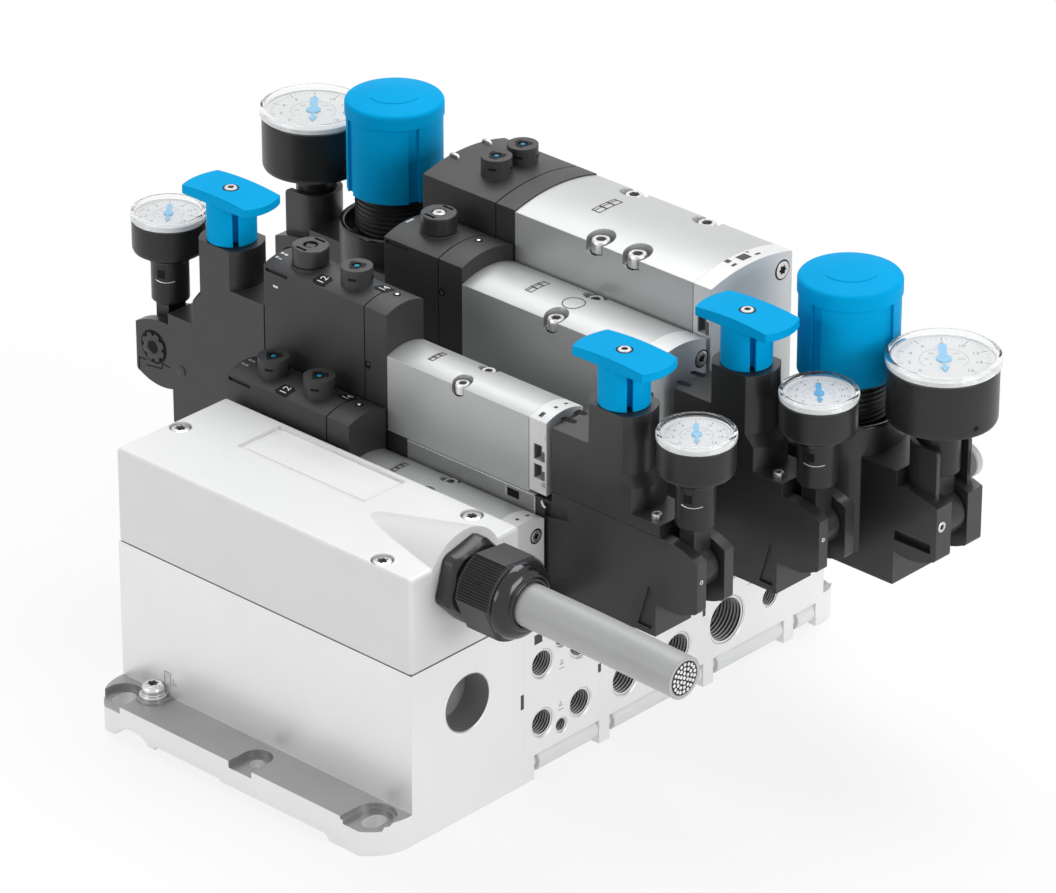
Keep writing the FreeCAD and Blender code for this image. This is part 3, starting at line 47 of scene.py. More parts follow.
# Camera, as measured on the photograph, in the frame of the model
CAMERA_AZIMUTH = radians(43.05)
CAMERA_ELEVATION = radians(27.37)
CAMERA_EYE = Vector((1.2754, -1.26115, 1.0432))
CAMERA_LENS = 204.74
TOWARD_VIEW = radians(-47.0)

# Lamps: name, place, size and watts
LAMPS = (
    ("top", (-0.35, 0.75, 1.7), (1.4, 1.2), 24.0),
    ("side", (1.6, 0.25, 0.6), (0.9, 0.7), 12.0),
    ("front", (-0.5, -1.5, 0.7), (1.0, 0.7), 7.0))
LAMP_TARGET = (0.02, 0.05, 0.08)
SKY_STRENGTH = 0.34
FLOOR_GLOW = 0.8
FLOOR_SIZE = 6.0
FLOOR_DROP = 0.0002

# Places that repeat the solids, in millimetres
HALF_DEPTH = 69.9
FLANGE_HALF = 69.5
FLANGE_HEIGHTS = (8.5, 12.6)
FLANGE_STRIPS = ((-44.1, -27.3), (183.7, 194.7))
SUB_BASE_TOP = 64.65
PLATE_HEIGHT = 35.2
RAISED_SEAT = SUB_BASE_TOP + PLATE_HEIGHT
HEAD_BACK = 27.25
SMALL_BASE_END = 65.25
MEDIUM_BASE_END = 119.25
LARGE_BASE_END = 162.25
Y_SMALL_1 = 36.75
Y_SMALL_2 = 55.75
Y_MEDIUM = 105.75
Y_LARGE = 140.75
COVER_TOP = 100.55
PIVOT_Z = SUB_BASE_TOP + 27.65
TIE_X = 65.3
TIE_Z = 4.75
GLAND_Y = -1.0
GLAND_Z = 92.4
EARTH_SCREW = Vector((-51.0, -31.05, 12.4))
LARGE_BONNETS = (("right", 114.1), ("left", -99.5))

# Valves; the heights are over the seat, and crown is the rise of the arched top
ValveLook = namedtuple("ValveLook", "y seat width body_end cap_end body_edge crown pilot_edge")
VALVES = [
    ValveLook(Y_SMALL_1, SUB_BASE_TOP, 18.0, 54.1, 62.0, 28.2, 2.0, 43.65),
    ValveLook(Y_SMALL_2, RAISED_SEAT, 18.0, 54.1, 62.0, 28.2, 2.0, 43.65),
    ValveLook(Y_MEDIUM, RAISED_SEAT, 26.0, 60.6, 69.5, 36.4, 2.6, 42.6),
    ValveLook(Y_LARGE, RAISED_SEAT, 42.0, 62.3, 70.4, 54.9, 3.0, 55.4)]

# Gauges; low, ring and top are heights over the sub-base, and depth is how far the dial lies under the top
GaugeLook = namedtuple("GaugeLook", "site x y radius low ring top barrel half depth large")
SMALL_GAUGE = (13.25, 63.35, 75.15, 78.65, 7.2, 4.2, 2.0, False)
LARGE_GAUGE = (19.0, 63.65, 83.6, 87.45, 8.4, 4.0, 2.4, True)
GAUGES = [
    GaugeLook("1_right", 120.9, Y_SMALL_2, *SMALL_GAUGE),
    GaugeLook("1_left", -128.5, Y_SMALL_2, *SMALL_GAUGE),
    GaugeLook("2_right", 130.9, Y_MEDIUM, *SMALL_GAUGE),
    GaugeLook("3_right", 155.3, Y_LARGE, *LARGE_GAUGE),
    GaugeLook("3_left", -140.7, Y_LARGE, *LARGE_GAUGE)]

# Cable: thickness and points in millimetres, length in metres
CABLE_DIAMETER = 15.0
CABLE_POINTS = [
    (76.3, GLAND_Y, GLAND_Z), (106.5, GLAND_Y, GLAND_Z), (136.7, GLAND_Y, 92.05), (166.9, GLAND_Y, 91.0)]


def mm(x, y, z):
    """A point given in millimetres."""
    return Vector((x, y, z)) * MM


def heading(angle, reach=1.0):
    """A level vector, turned from +X by an angle in radians."""
    return Vector((reach * cos(angle), reach * sin(angle), 0))


# Materials

def give(node, values):
    """Sets inputs of a shader node by their names."""
    for name, value in values.items():
        node.inputs[name].default_value = value


def node_tree(name):
    material = bpy.data.materials.new(name)
    material.use_nodes = True
    tree = material.node_tree
    return material, tree, tree.nodes["Principled BSDF"]


def noise(tree, scale, detail=3.0):
    coordinates = tree.nodes.new("ShaderNodeTexCoord")
    texture = tree.nodes.new("ShaderNodeTexNoise")
    give(texture, {"Scale": scale, "Detail": detail})
    tree.links.new(coordinates.outputs["Object"], texture.inputs["Vector"])
    return texture.outputs["Fac"]


def mapped(tree, value, low, high):
    """Spreads the middle of a noise over the range from low to high."""
    node = tree.nodes.new("ShaderNodeMapRange")
    give(node, {"From Min": 0.3, "From Max": 0.7, "To Min": low, "To Max": high})
    tree.links.new(value, node.inputs["Value"])
    return node.outputs["Result"]


def surface(name, colour, roughness, metallic=0.0, grain=2600, bump=0.1, variation=0.04, edge=0.3, coat=0.0,
            roughness_spread=0.06, specular=0.5):
    """A finish with fine grain, slight patches of tone, and softened edges; a single colour value is a grey."""
    if not isinstance(colour, tuple):
        colour = (colour,) * 3
    material, tree, shader = node_tree(name)
    give(shader, {"Metallic": metallic, "Specular IOR Level": specular, "Coat Weight": coat, "Coat Roughness": 0.15})
    patches = noise(tree, 60.0)
    tone = tree.nodes.new("ShaderNodeMix")
    tone.data_type = "RGBA"
    tone.inputs[6].default_value = tuple(c * (1 - variation) for c in colour) + (1,)
    tone.inputs[7].default_value = tuple(min(1, c * (1 + variation)) for c in colour) + (1,)
    tree.links.new(mapped(tree, patches, 0, 1), tone.inputs[0])
    tree.links.new(tone.outputs[2], shader.inputs["Base Color"])
    fine = noise(tree, grain, 2.0)
    tree.links.new(mapped(tree, fine, roughness - roughness_spread, roughness + roughness_spread),
                   shader.inputs["Roughness"])
    bumps = tree.nodes.new("ShaderNodeBump")
    give(bumps, {"Strength": bump, "Distance": 0.0001})
    tree.links.new(fine, bumps.inputs["Height"])
    if edge:
        rounded = tree.nodes.new("ShaderNodeBevel")
        rounded.samples = 4
        rounded.inputs["Radius"].default_value = edge * MM
        tree.links.new(rounded.outputs["Normal"], bumps.inputs["Normal"])
    tree.links.new(bumps.outputs["Normal"], shader.inputs["Normal"])
    return material


def flat(name, colour, roughness=0.6, bump=0.02, **rest):
    """The finish of a print or of a dark hollow, which has no edges to soften."""
    return surface(name, colour, roughness, grain=2000, bump=bump, edge=0, **rest)


def clear_plastic(name):
    material, _, shader = node_tree(name)
    give(shader, {"Base Color": (0.97, 0.98, 0.98, 1), "Transmission Weight": 1.0, "IOR": 1.3, "Roughness": 0.04})
    return material


def thin_window(name):
    """A clear pane so thin that it only veils what is under it."""
    material, _, shader = node_tree(name)
    give(shader, {"Base Color": (0.95, 0.96, 0.96, 1), "Roughness": 0.05, "Alpha": 0.1})
    return material


MATERIALS = {
    "head": surface("cast_head", (0.84, 0.845, 0.84), 0.34, metallic=0.6, grain=1800, variation=0.012),
    # A darker grey for the tops of the mounting flanges: painted shade, not a different finish.
    "flange": surface("flange_top_painted_shade", (0.33, 0.332, 0.33), 0.36, metallic=0.6, grain=2200),
    "cover": surface("head_cover", (0.76, 0.765, 0.76), 0.45, metallic=0.1, grain=1800, edge=0.5, variation=0.012),
    "base": surface("cast_base", (0.84, 0.84, 0.845), 0.38, metallic=0.5, grain=2200, variation=0.012),
    "valve": surface("valve_metal", (0.50, 0.51, 0.51), 0.36, metallic=0.4, bump=0.15, edge=0.4, variation=0.02),
    "end_cap": surface("end_cap", (0.72, 0.725, 0.72), 0.42, metallic=0.15, edge=0.4, variation=0.015),
    "plate": surface("plate_metal", (0.30, 0.31, 0.305), 0.4, metallic=0.4, grain=900, bump=0.2, variation=0.12),
    "bright": surface("bright_aluminium", (0.80, 0.805, 0.81), 0.28, metallic=0.6, bump=0.0,
                      edge=0, variation=0.01, roughness_spread=0.02),
    "rod": surface("rod_aluminium", (0.78, 0.785, 0.79), 0.36, metallic=0.1, bump=0.03, edge=0.1, variation=0.01),
    "black": surface("black_housing", (0.024, 0.024, 0.0243), 0.40, grain=3000, bump=0.08, variation=0.08,
                     edge=0.4, specular=0.42, coat=0.2),
    "pilot": surface("pilot_black", (0.032, 0.032, 0.0322), 0.46, grain=3000, bump=0.12, variation=0.1, specular=0.4),
    "case": surface("gauge_black", (0.02, 0.02, 0.0203), 0.34, grain=3000, bump=0.05, variation=0.1, specular=0.35),
    "gland": surface("gland_black", (0.024, 0.024, 0.025), 0.34, grain=3000, bump=0.05, variation=0.1, edge=0.25,
                     specular=0.4),
    "gloss": surface("gloss_black", (0.012, 0.012, 0.013), 0.13, grain=3000, bump=0.02, variation=0.1),
    "blue": surface("blue_plastic", (0.0, 0.37, 0.74), 0.5, bump=0.05, edge=0.45, variation=0.02, specular=0.03),
    "teal": surface("plunger_teal", (0.0, 0.20, 0.36), 0.4, bump=0.06, edge=0.2, specular=0.3),
    "pointer": surface("pointer_blue", (0.16, 0.52, 0.80), 0.45, bump=0.03, edge=0),
    "steel": surface("steel", 0.66, 0.3, metallic=0.9, grain=1500, bump=0.03, edge=0.12),
    "spool": surface("spool_metal", (0.66, 0.67, 0.68), 0.3, metallic=0.9, grain=1500, bump=0.05, edge=0.15),
    "cable": surface("cable_sheath", (0.42, 0.425, 0.425), 0.4, grain=1200, bump=0.05, variation=0.02, specular=0.4),
    "seal": surface("seal_rubber", 0.03, 0.7, grain=2000, bump=0.3),
    "grey": surface("grey_plastic", 0.50, 0.4, grain=2000, bump=0.04),
    "core": surface("core_ends", 0.82, 0.4, metallic=0.3, grain=4000, bump=0.3, edge=0),
    "dial": flat("dial_white", (0.74, 0.745, 0.745), 0.5, variation=0.01, specular=0.2),
    "dial_ink": flat("dial_ink", 0.12),
    "dial_line": flat("dial_line", 0.34),
    "faint": flat("faint_mark", 0.42, 0.5, metallic=0.2),
    # Near-black, used for the number plates, plungers and lamp rims, and as painted shade in sockets, hollows, slots,
    # notches, vents and openings.
    "black_and_painted_shade": flat("deep_black_and_painted_shade", 0.005, specular=0.15),
    "dark_mark": flat("dark_mark", 0.07, specular=0.2),
    "shade": flat("pocket_shade", (0.13, 0.132, 0.13), specular=0.2),
    "paint": flat("white_print", 0.80, 0.5),
    "label": flat("blank_label", (0.80, 0.805, 0.80), 0.5, bump=0.03, variation=0.01),
    "bore": flat("bore_shade", (0.03, 0.03, 0.031), 0.5, specular=0.2),
    "hole": flat("hole_shade", (0.26, 0.26, 0.262), 0.5, specular=0.2),
    "thread": flat("thread_metal", 0.80, 0.34, bump=0.0, metallic=0.3, variation=0.01, roughness_spread=0.02),
    "filler": flat("cable_filling", 0.03, 0.7, bump=0.2, specular=0.2),
    "lens": clear_plastic("clear_lens"),
    "window": thin_window("clear_window"),
}

NODE_MATERIALS = {
    "head_base": "head", "head_cover": "cover", "head_gasket": "seal", "gland_body": "gland",
    "gland_nut": "gland", "end_plate": "base", "tie_rods": "bright", "blanking_plate": "plate",
    "valve_end_caps": "end_cap", "cable": "cable",
}
KIND_MATERIALS = {
    "sub": "base", "valve": "valve", "pilot": "pilot", "regulator": "black", "plunger": "black_and_painted_shade",
    "turning": "black", "spindle": "steel", "knob": "blue", "gauge": "case", "pointer": "pointer",
    "spool": "spool",
}


def dress_frame():
    """Gives every carried piece its finish; the tops of the mounting flanges get a darker grey, which is painted
    shade.
    """
    lowest, highest = FLANGE_HEIGHTS
    for name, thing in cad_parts.items():
        kind = NODE_MATERIALS.get(name) or KIND_MATERIALS.get(name.split("_")[0])
        if name.startswith("regulator_plate"):
            kind = "plate"
        mesh = thing.data
        mesh.materials.clear()
        mesh.materials.append(MATERIALS[kind])
        if name in ("head_base", "end_plate"):
            # The faces on the flange tops take the darker grey, which is painted shade.
            mesh.materials.append(MATERIALS["flange"])
            for face in mesh.polygons:
                x, y, z = face.center / MM
                on_strip = any(start < y < stop for start, stop in FLANGE_STRIPS)
                if on_strip and lowest < z < highest and abs(x) < FLANGE_HALF:
                    face.material_index = 1


# Mesh building

def add_object(name, data):
    thing = bpy.data.objects.new(name, data)
    bpy.context.scene.collection.objects.link(thing)
    return thing


def axes_to(direction):
    """A matrix that turns +Z to a direction."""
    return Vector(direction).to_track_quat("Z", "Y").to_matrix().to_4x4()


def turned(rings, steps, closed_low=True, closed_high=True):
    """Vertices and faces of stacked rings; each ring is a radius, or a function of the angle, and a height."""
    vertices = []
    faces = []
    for radius, height in rings:
        for step in range(steps):
            angle = tau * step / steps
            reach = radius(angle) if callable(radius) else radius
            vertices.append(mm(reach * cos(angle), reach * sin(angle), height))
    for level in range(len(rings) - 1):
        for step in range(steps):
            after = (step + 1) % steps
            a = level * steps
            b = a + steps
            faces.append((a + step, a + after, b + after, b + step))
    if closed_low:
        faces.append(tuple(reversed(range(steps))))
    if closed_high:
        top = (len(rings) - 1) * steps
        faces.append(tuple(range(top, top + steps)))
    return vertices, faces


def star(radius):
    """The outline of a six-lobed socket."""
    return lambda angle: radius * (1 + 0.17 * cos(6 * angle))


def hexagonal(radius):
    """The outline of a hexagonal socket, from its half width."""
    sector = pi / 3
    return lambda angle: radius / cos((angle + sector / 2) % sector - sector / 2)


def corners(low, high):
    """The outline of a rectangle, from two opposite corners."""
    return [(low[0], low[1]), (high[0], low[1]), (high[0], high[1]), (low[0], high[1])]


def bar(length, width, a=0.0):
    """A rectangle round a point of the first axis."""
    return corners((a - length / 2, -width / 2), (a + length / 2, width / 2))


def oval(length, width, steps=20):
    """A round-ended slot along the first axis."""
    half = (length - width) / 2
    points = []
    for k in range(steps):
        angle = tau * (k + 0.5) / steps - pi / 2
        shift = half if cos(angle) > 0 else -half
        points.append((shift + width / 2 * cos(angle), width / 2 * sin(angle)))
    return points


class Pile:
    """Collects shapes, given in millimetres, into one mesh. Each method gives back the pile."""

    def __init__(self):
        self.vertices = []
        self.faces = []

    def add(self, vertices, faces):
        start = len(self.vertices)
        self.vertices += [Vector(v) for v in vertices]
        self.faces += [tuple(start + index for index in face) for face in faces]
        return self

    def prism(self, origin, across, up, outline, thickness):
        """Raises an outline, drawn from origin along across and up, by thickness along their normal."""
        across = Vector(across).normalized()
        up = Vector(up).normalized()
        normal = across.cross(up)
        low = [Vector(origin) + across * a + up * b for a, b in outline]
        count = len(low)
        vertices = [v * MM for v in low + [v + normal * thickness for v in low]]
        faces = [tuple(reversed(range(count))), tuple(range(count, 2 * count))]
        faces += [(i, (i + 1) % count, count + (i + 1) % count, count + i) for i in range(count)]
        return self.add(vertices, faces)

    def block(self, low, high):
        size = Vector(high) - Vector(low)
        return self.prism(low, PLUS_X, PLUS_Y, corners((0, 0), size), size.z)

    def stroke(self, first, second, half, thickness, up=None):
        """A straight line from point to point, level unless up is given."""
        along = Vector(second) - Vector(first)
        return self.prism(first, along, UP.cross(along) if up is None else up,
                          corners((0, -half), (along.length, half)), thickness)

    def circle(self, x, y, radius, height, half, steps):
        """A thin circle drawn on a surface, whose height is a function of y."""
        for k in range(steps):
            ends = [Vector((x, y, 0)) + heading(tau * end / steps, radius) for end in (k, k + 1)]
            for end in ends:
                end.z = height(end.y)
            self.stroke(*ends, half, 0.05)
        return self

    def put(self, place, direction, vertices, faces):
        matrix = Matrix.Translation(Vector(place) * MM) @ axes_to(direction)
        return self.add([matrix @ v for v in vertices], faces)

    def turned(self, place, direction, rings, steps=32, closed=(True, True)):
        return self.put(place, direction, *turned(rings, steps, *closed))

    def looped(self, place, direction, rings, steps=48):
        """A closed section turned all the way round."""
        vertices, faces = turned(rings, steps, False, False)
        last = (len(rings) - 1) * steps
        faces += [(last + i, last + (i + 1) % steps, (i + 1) % steps, i) for i in range(steps)]
        return self.put(place, direction, vertices, faces)

    def tube(self, points, radius, sides=8):
        """A round wire along points."""
        points = [Vector(p) for p in points]
        vertices = []
        for i, point in enumerate(points):
            turn = axes_to(points[min(i + 1, len(points) - 1)] - points[max(i - 1, 0)])
            vertices += [(point + turn @ heading(tau * k / sides, radius)) * MM for k in range(sides)]
        faces = [(sides * i + k, sides * i + (k + 1) % sides, sides * (i + 1) + (k + 1) % sides,
                  sides * (i + 1) + k) for i in range(len(points) - 1) for k in range(sides)]
        faces += [tuple(reversed(range(sides))), tuple(range(sides * (len(points) - 1), sides * len(points)))]
        return self.add(vertices, faces)

    def make(self, name, material, slot, body="root", sharp=35):
        """Makes a mesh object that rides on a body; edges over sharp degrees stay crisp."""
        mesh = bpy.data.meshes.new(name)
        mesh.from_pydata([tuple(v) for v in self.vertices], [], self.faces)
        mesh.validate()
        tidy = bmesh.new()
        tidy.from_mesh(mesh)
        bmesh.ops.remove_doubles(tidy, verts=tidy.verts, dist=1e-7)
        bmesh.ops.recalc_face_normals(tidy, faces=tidy.faces)
        tidy.to_mesh(mesh)
        tidy.free()
        mesh.shade_smooth()
        mesh.set_sharp_from_angle(angle=radians(sharp))
        mesh.materials.append(MATERIALS[material])
        thing = add_object(name, mesh)
        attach(thing, body)
        return thing


# Screws, in one pile of steel and one of painted shade: the dark bottoms of their sockets and the dark rings round
# some heads

SCREWS = Pile()
SOCKET_SHADE = Pile()


def screw(place, direction, radius, height, socket=star, ring=0.0):
    """A flat screw head; place is the middle of its underside."""
    hole = socket(0.5 * radius)
    if ring:
        # Painted shade: a dark ring just round the head, where shade falls in the gap.
        SOCKET_SHADE.turned(place, direction, [(radius + ring, -0.3), (radius + ring, 0.04)], 40)
    SCREWS.turned(place, direction, [
        (radius, 0), (radius, 0.7 * height), (0.96 * radius, 0.9 * height), (0.86 * radius, height),
        (hole, height), (hole, 0.35 * height)], 48)
    # Painted shade: a dark disc at the bottom of the socket.
    bottom = Vector(place) + Vector(direction).normalized() * 0.36 * height
    SOCKET_SHADE.turned(bottom, direction, [(socket(0.49 * radius), 0), (socket(0.48 * radius), 0.02 * height)], 48)


def add_cover_screws():
    for x, y in ((-64.8, -1.35), (52.6, -22.45), (52.6, 20.45)):
        screw((x, y, COVER_TOP - 2.5), UP, 3.4, 2.2, ring=0.5)


def add_valve_screws():
    pair = ((21.0, -6.4), (21.0, 6.4))
    tops = (
        (pair, 25.0, 2.7, 3.6, 0.3), (pair, 25.0, 2.7, 3.6, 0.3),
        (((21.1, -10.0), (21.1, 10.0)), 32.4, 3.2, 4.2, 0.3),
        (((16.6, -17.4), (33.6, -17.4), (0.5, 17.4), (34.5, 17.4)), 50.8, 3.5, 4.6, 0.4))
    for look, (places, height, radius, thickness, ring) in zip(VALVES, tops):
        for x, across in places:
            screw((x, look.y + across, look.seat + height), UP, radius, thickness, hexagonal, ring)
    for look, radius, places in (
            (VALVES[0], 2.3, ((41.75, 87.5), (30.6, 69.2))), (VALVES[2], 2.8, ((116.3, 129.6), (95.6, 105.2))),
            (VALVES[3], 3.2, ((156.65, 149.3), (125.5, 106.5)))):
        for y, z in places:
            screw((look.cap_end, y, z), PLUS_X, radius, 0.3, ring=0.55)


def add_earth_screw():
    """A pan head on two washers."""
    for lift, rings in (
            (0.0, [(4.9, 0), (4.9, 0.8), (4.7, 1.0)]),
            (1.0, [(4.3, 0), (4.3, 0.6), (4.1, 0.8)]),
            (1.8, [(4.0, 0), (4.1, 0.9), (3.9, 1.9), (3.2, 2.7), (2.3, 3.0), (star(1.75), 3.0), (star(1.75), 1.2)])):
        SCREWS.turned(EARTH_SCREW + UP * lift, UP, rings, 48)
    # Painted shade: a dark disc at the bottom of the socket.
    SOCKET_SHADE.turned(EARTH_SCREW + UP * 3.0, UP, [(star(1.7), 0), (star(1.7), 0.05)], 48)


def add_regulator_screws():
    for x, y in ((-3.8, Y_SMALL_2), (6.2, Y_MEDIUM)):
        screw((x + 133.8, y - 7.0, SUB_BASE_TOP + 27.7), PLUS_X, 0.8, 0.25)
        screw((x + 112.0, y - 4.9, SUB_BASE_TOP + 43.35), UP, 1.9, 1.6)
    screw((164.3, Y_LARGE - 9.4, SUB_BASE_TOP + 28.7), PLUS_X, 1.9, 0.35)


# Base row

def add_tie_rods():
    """The studs with round bars in the lower grooves."""
    rods = Pile()
    ends = (HEAD_BACK, SMALL_BASE_END, MEDIUM_BASE_END, LARGE_BASE_END)
    for side in (-1, 1):
        for start, stop in zip(ends, ends[1:] + (LARGE_BASE_END + 17.4,)):
            rods.turned((side * TIE_X, start, TIE_Z), PLUS_Y, [
                (2.5, 0), (2.5, 8.4), (3.8, 8.4), (4.2, 8.8), (4.2, stop - start)], 48)
    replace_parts(rods.make("tie_rods_smooth", "rod", "steel"), "tie_rods")


def add_ports():
    """Painted shade in each port, a dark wall behind bright rings of thread, and grey painted shade on the wall of
    the blind cable entry.
    """
    bore_shade_wall = Pile()
    hole = Pile()
    threads = Pile()
    pilot_y = HEAD_BACK + 19.0
    blank_y = SMALL_BASE_END + 13.5
    large_y = MEDIUM_BASE_END + 12.4
    # Place along the row, height, radius, depth, and pitch of the thread
    for y, z, radius, depth, pitch in (
            (0, 43.5, 10.35, 11.2, 0), (Y_SMALL_1, 20.4, 5.2, 11.2, 1.15), (Y_SMALL_1, 43.4, 5.2, 11.6, 1.15),
            (Y_SMALL_2, 20.4, 5.2, 12.0, 1.15), (Y_SMALL_2, 43.4, 5.2, 12.4, 1.15),
            (blank_y, 20.4, 6.5, 12.2, 1.34), (blank_y, 41.0, 6.5, 12.6, 1.34),
            (Y_MEDIUM, 20.4, 6.5, 13.0, 1.34), (Y_MEDIUM, 41.0, 6.5, 13.4, 1.34),
            (large_y, 21.8, 8.95, 15.2, 1.5), (large_y, 46.0, 8.95, 15.6, 1.5),
            (MEDIUM_BASE_END + 35.5, 21.8, 4.0, 9.4, 1.0), (pilot_y, 15.5, 2.8, 7.4, 0.9),
            (pilot_y, 49.0, 2.8, 7.8, 0.9)):
        place = (HALF_DEPTH, y, z)
        mouth = -0.62 if pitch else -0.15
        wall = bore_shade_wall if pitch else hole
        # The wall and bottom of each bore are painted shade: near-black in the ports, grey in the blind entry.
        wall.turned(place, PLUS_X, [(radius - 0.04, -depth), (radius - 0.04, mouth)], 48, closed=(True, False))
        for turn in range(int(depth / pitch) - 1 if pitch else 0):
            low = -0.5 - pitch * (turn + 1)
            root = radius - 0.03
            crest = radius - 0.05 - 0.5 * pitch
            threads.looped(place, PLUS_X, [
                (root, low + 0.25 * pitch), (crest, low + 0.62 * pitch), (crest, low + 0.74 * pitch),
                (root, low + 0.8 * pitch)])
    hole.make("head_hole_painted_shade", "hole", "cast_head", sharp=60)
    bore_shade_wall.make("port_painted_shade", "bore", "cast_base", sharp=60)
    threads.make("port_threads", "thread", "cast_base", sharp=25)


def add_base_marks():
    """Dark joints between the blocks, a dark patch above the upper port of the first small valve, faint triangles,
    and the faint sign beside the earth screw.
    """
    dark = Pile()
    face = HALF_DEPTH
    for y, low, high in ((HEAD_BACK - 1.4, 29.7, 35.4), (SMALL_BASE_END - 0.7, 28.4, 31.7),
                         (MEDIUM_BASE_END - 0.7, 28.4, 31.7), (LARGE_BASE_END - 0.7, 28.4, 31.7)):
        dark.block((face - 0.3, y - 0.1, low), (face + 0.04, y + 1.4, high))
    # A dark patch on the end face above the upper port of the first small valve.
    dark.block((face - 0.3, 32.5, 52.2), (face + 0.04, 36.4, 55.8))
    faint = Pile()
    for y, z in ((46.2, 40.2), (45.7, 24.2), (84.5, 31.0), (143.6, 34.0)):
        for outline in (
                [(-1.0, -0.9), (1.0, -0.9), (0.7, -0.5), (-0.45, -0.5)],
                [(-1.0, -0.9), (-0.45, -0.5), (0.0, 0.45), (0.0, 1.1)],
                [(1.0, -0.9), (0.0, 1.1), (0.0, 0.45), (0.7, -0.5)]):
            faint.prism((face, y, z), PLUS_Y, UP, outline, 0.05)
        faint.prism((face, y, z - 2.3), PLUS_Y, UP, bar(2.6, 0.35), 0.05)
    front = -HEAD_BACK
    for (x0, z0), (x1, z1) in (
            ((-49.2, 16.4), (-48.8, 21.0)), ((-46.2, 16.4), (-45.8, 21.0)), ((-48.9, 21.0), (-46.1, 21.4)),
            ((-44.9, 17.4), (-44.5, 19.6)), ((-44.9, 17.2), (-42.9, 17.6))):
        faint.block((x0, front - 0.05, z0), (x1, front + 0.2, z1))
    faint.make("base_faint_marks", "faint", "cast_base")
    dark.make("base_marks", "dark_mark", "cast_base")


def add_cover_label():
    """A blank label in the window of the cover."""
    x = -38.1
    near, far = HEAD_BACK - 22.8, HEAD_BACK - 3.6
    Pile().block((x, near, COVER_TOP - 1.25), (x + 59.3, far, COVER_TOP - 1.05)).make(
        "cover_label", "label", "head_cover")


def add_plate_marks():
    """Dark and bright parts of the first regulator plate, and a circle on the blanking plate."""
    near = HEAD_BACK + 19.44
    low, high = SUB_BASE_TOP + 1.0, RAISED_SEAT - 0.1
    dark_part = Pile()
    dark_part.block((-64.9, near, low), (-2.9, near + 0.5, high))
    dark_part.block((57.0, near, low), (57.44, near + 4.0, high))
    dark_part.make("plate_dark_part", "black", "plate")
    frame_lines = Pile()
    for (x0, z0), (x1, z1) in (
            ((-2.9, 98.9), (57.0, 99.3)), ((56.5, 66.0), (57.0, 99.3)), ((43.3, 94.8), (43.6, 98.9))):
        frame_lines.block((x0, near - 0.02, z0), (x1, near + 0.4, z1))
    frame_lines.make("plate_frame", "bright", "plate")
    Pile().block((44.1, near, 95.0), (49.5, near + 0.4, 98.0)).make("plate_window", "black_and_painted_shade", "black_cap")
    Pile().circle(20.3, 78.5, 3.2, lambda y: SUB_BASE_TOP + 7.02, 0.13, 40).make(
        "plate_marks", "dark_mark", "valve_metal")


# Cable and its gland

def add_gland():
    """A nut with fine ribs between three flats, a glossy dome, and a chamfered hexagon."""
    flat_reach = 13.5
    outer = 15.2
    ribs = 92
    nut_start = HALF_DEPTH + 9.2
    hexagon_turn = radians(-16.4)

    def ribbed(drop, depth):
        def reach(angle):
            for k in (2, 1, 0):
                along = cos(angle - radians(84 + 120 * k))
                if along > 0 and flat_reach / along < outer:
                    return flat_reach / along - drop
            return outer - drop - depth * (0.5 - 0.5 * cos(ribs * angle)) ** 0.7
        return reach

    def six_sided(half, cut):
        return lambda angle: min(cut, hexagonal(half)(angle - hexagon_turn))

    nut = Pile().turned((nut_start, GLAND_Y, GLAND_Z), PLUS_X, [
        (12.2, 0), (ribbed(0.7, 0), 0.05), (ribbed(0, 0.75), 0.6), (ribbed(0, 0.75), 13.6),
        (ribbed(0.5, 0.3), 14.5), (13.2, 15.0), (12.0, 15.0)], 552)
    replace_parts(nut.make("gland_nut_ribbed", "gland", "gland", sharp=22), "gland_nut")
    dome = Pile().turned((nut_start + 15.0, GLAND_Y, GLAND_Z), PLUS_X, [
        (13.0, -0.5), (13.45, -0.2), (13.6, 0.4), (13.5, 1.2), (13.2, 2.0), (12.75, 2.8), (12.15, 3.5), (11.4, 4.1),
        (10.6, 4.55), (9.95, 4.75), (9.6, 4.7), (9.45, 4.85), (9.35, 5.15), (9.0, 5.4), (8.6, 5.5), (8.15, 5.4),
        (7.8, 5.15), (7.75, 4.8), (7.75, 2.0)], 96, closed=(False, False))
    dome.make("gland_dome", "gloss", "gland", sharp=60)
    hexagon = Pile().turned((HALF_DEPTH, GLAND_Y, GLAND_Z), PLUS_X, [
        (six_sided(13.1, 14.5), 0.02), (six_sided(13.5, 15.0), 0.4), (six_sided(13.5, 15.0), 4.7),
        (six_sided(13.3, 14.5), 5.3), (six_sided(12.6, 13.3), 6.6), (12.3, 6.9), (11.8, 7.0), (11.8, 9.6),
        (7.8, 9.6)], 144)
    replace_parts(hexagon.make("gland_hexagon", "gland", "gland", sharp=28), "gland_body")


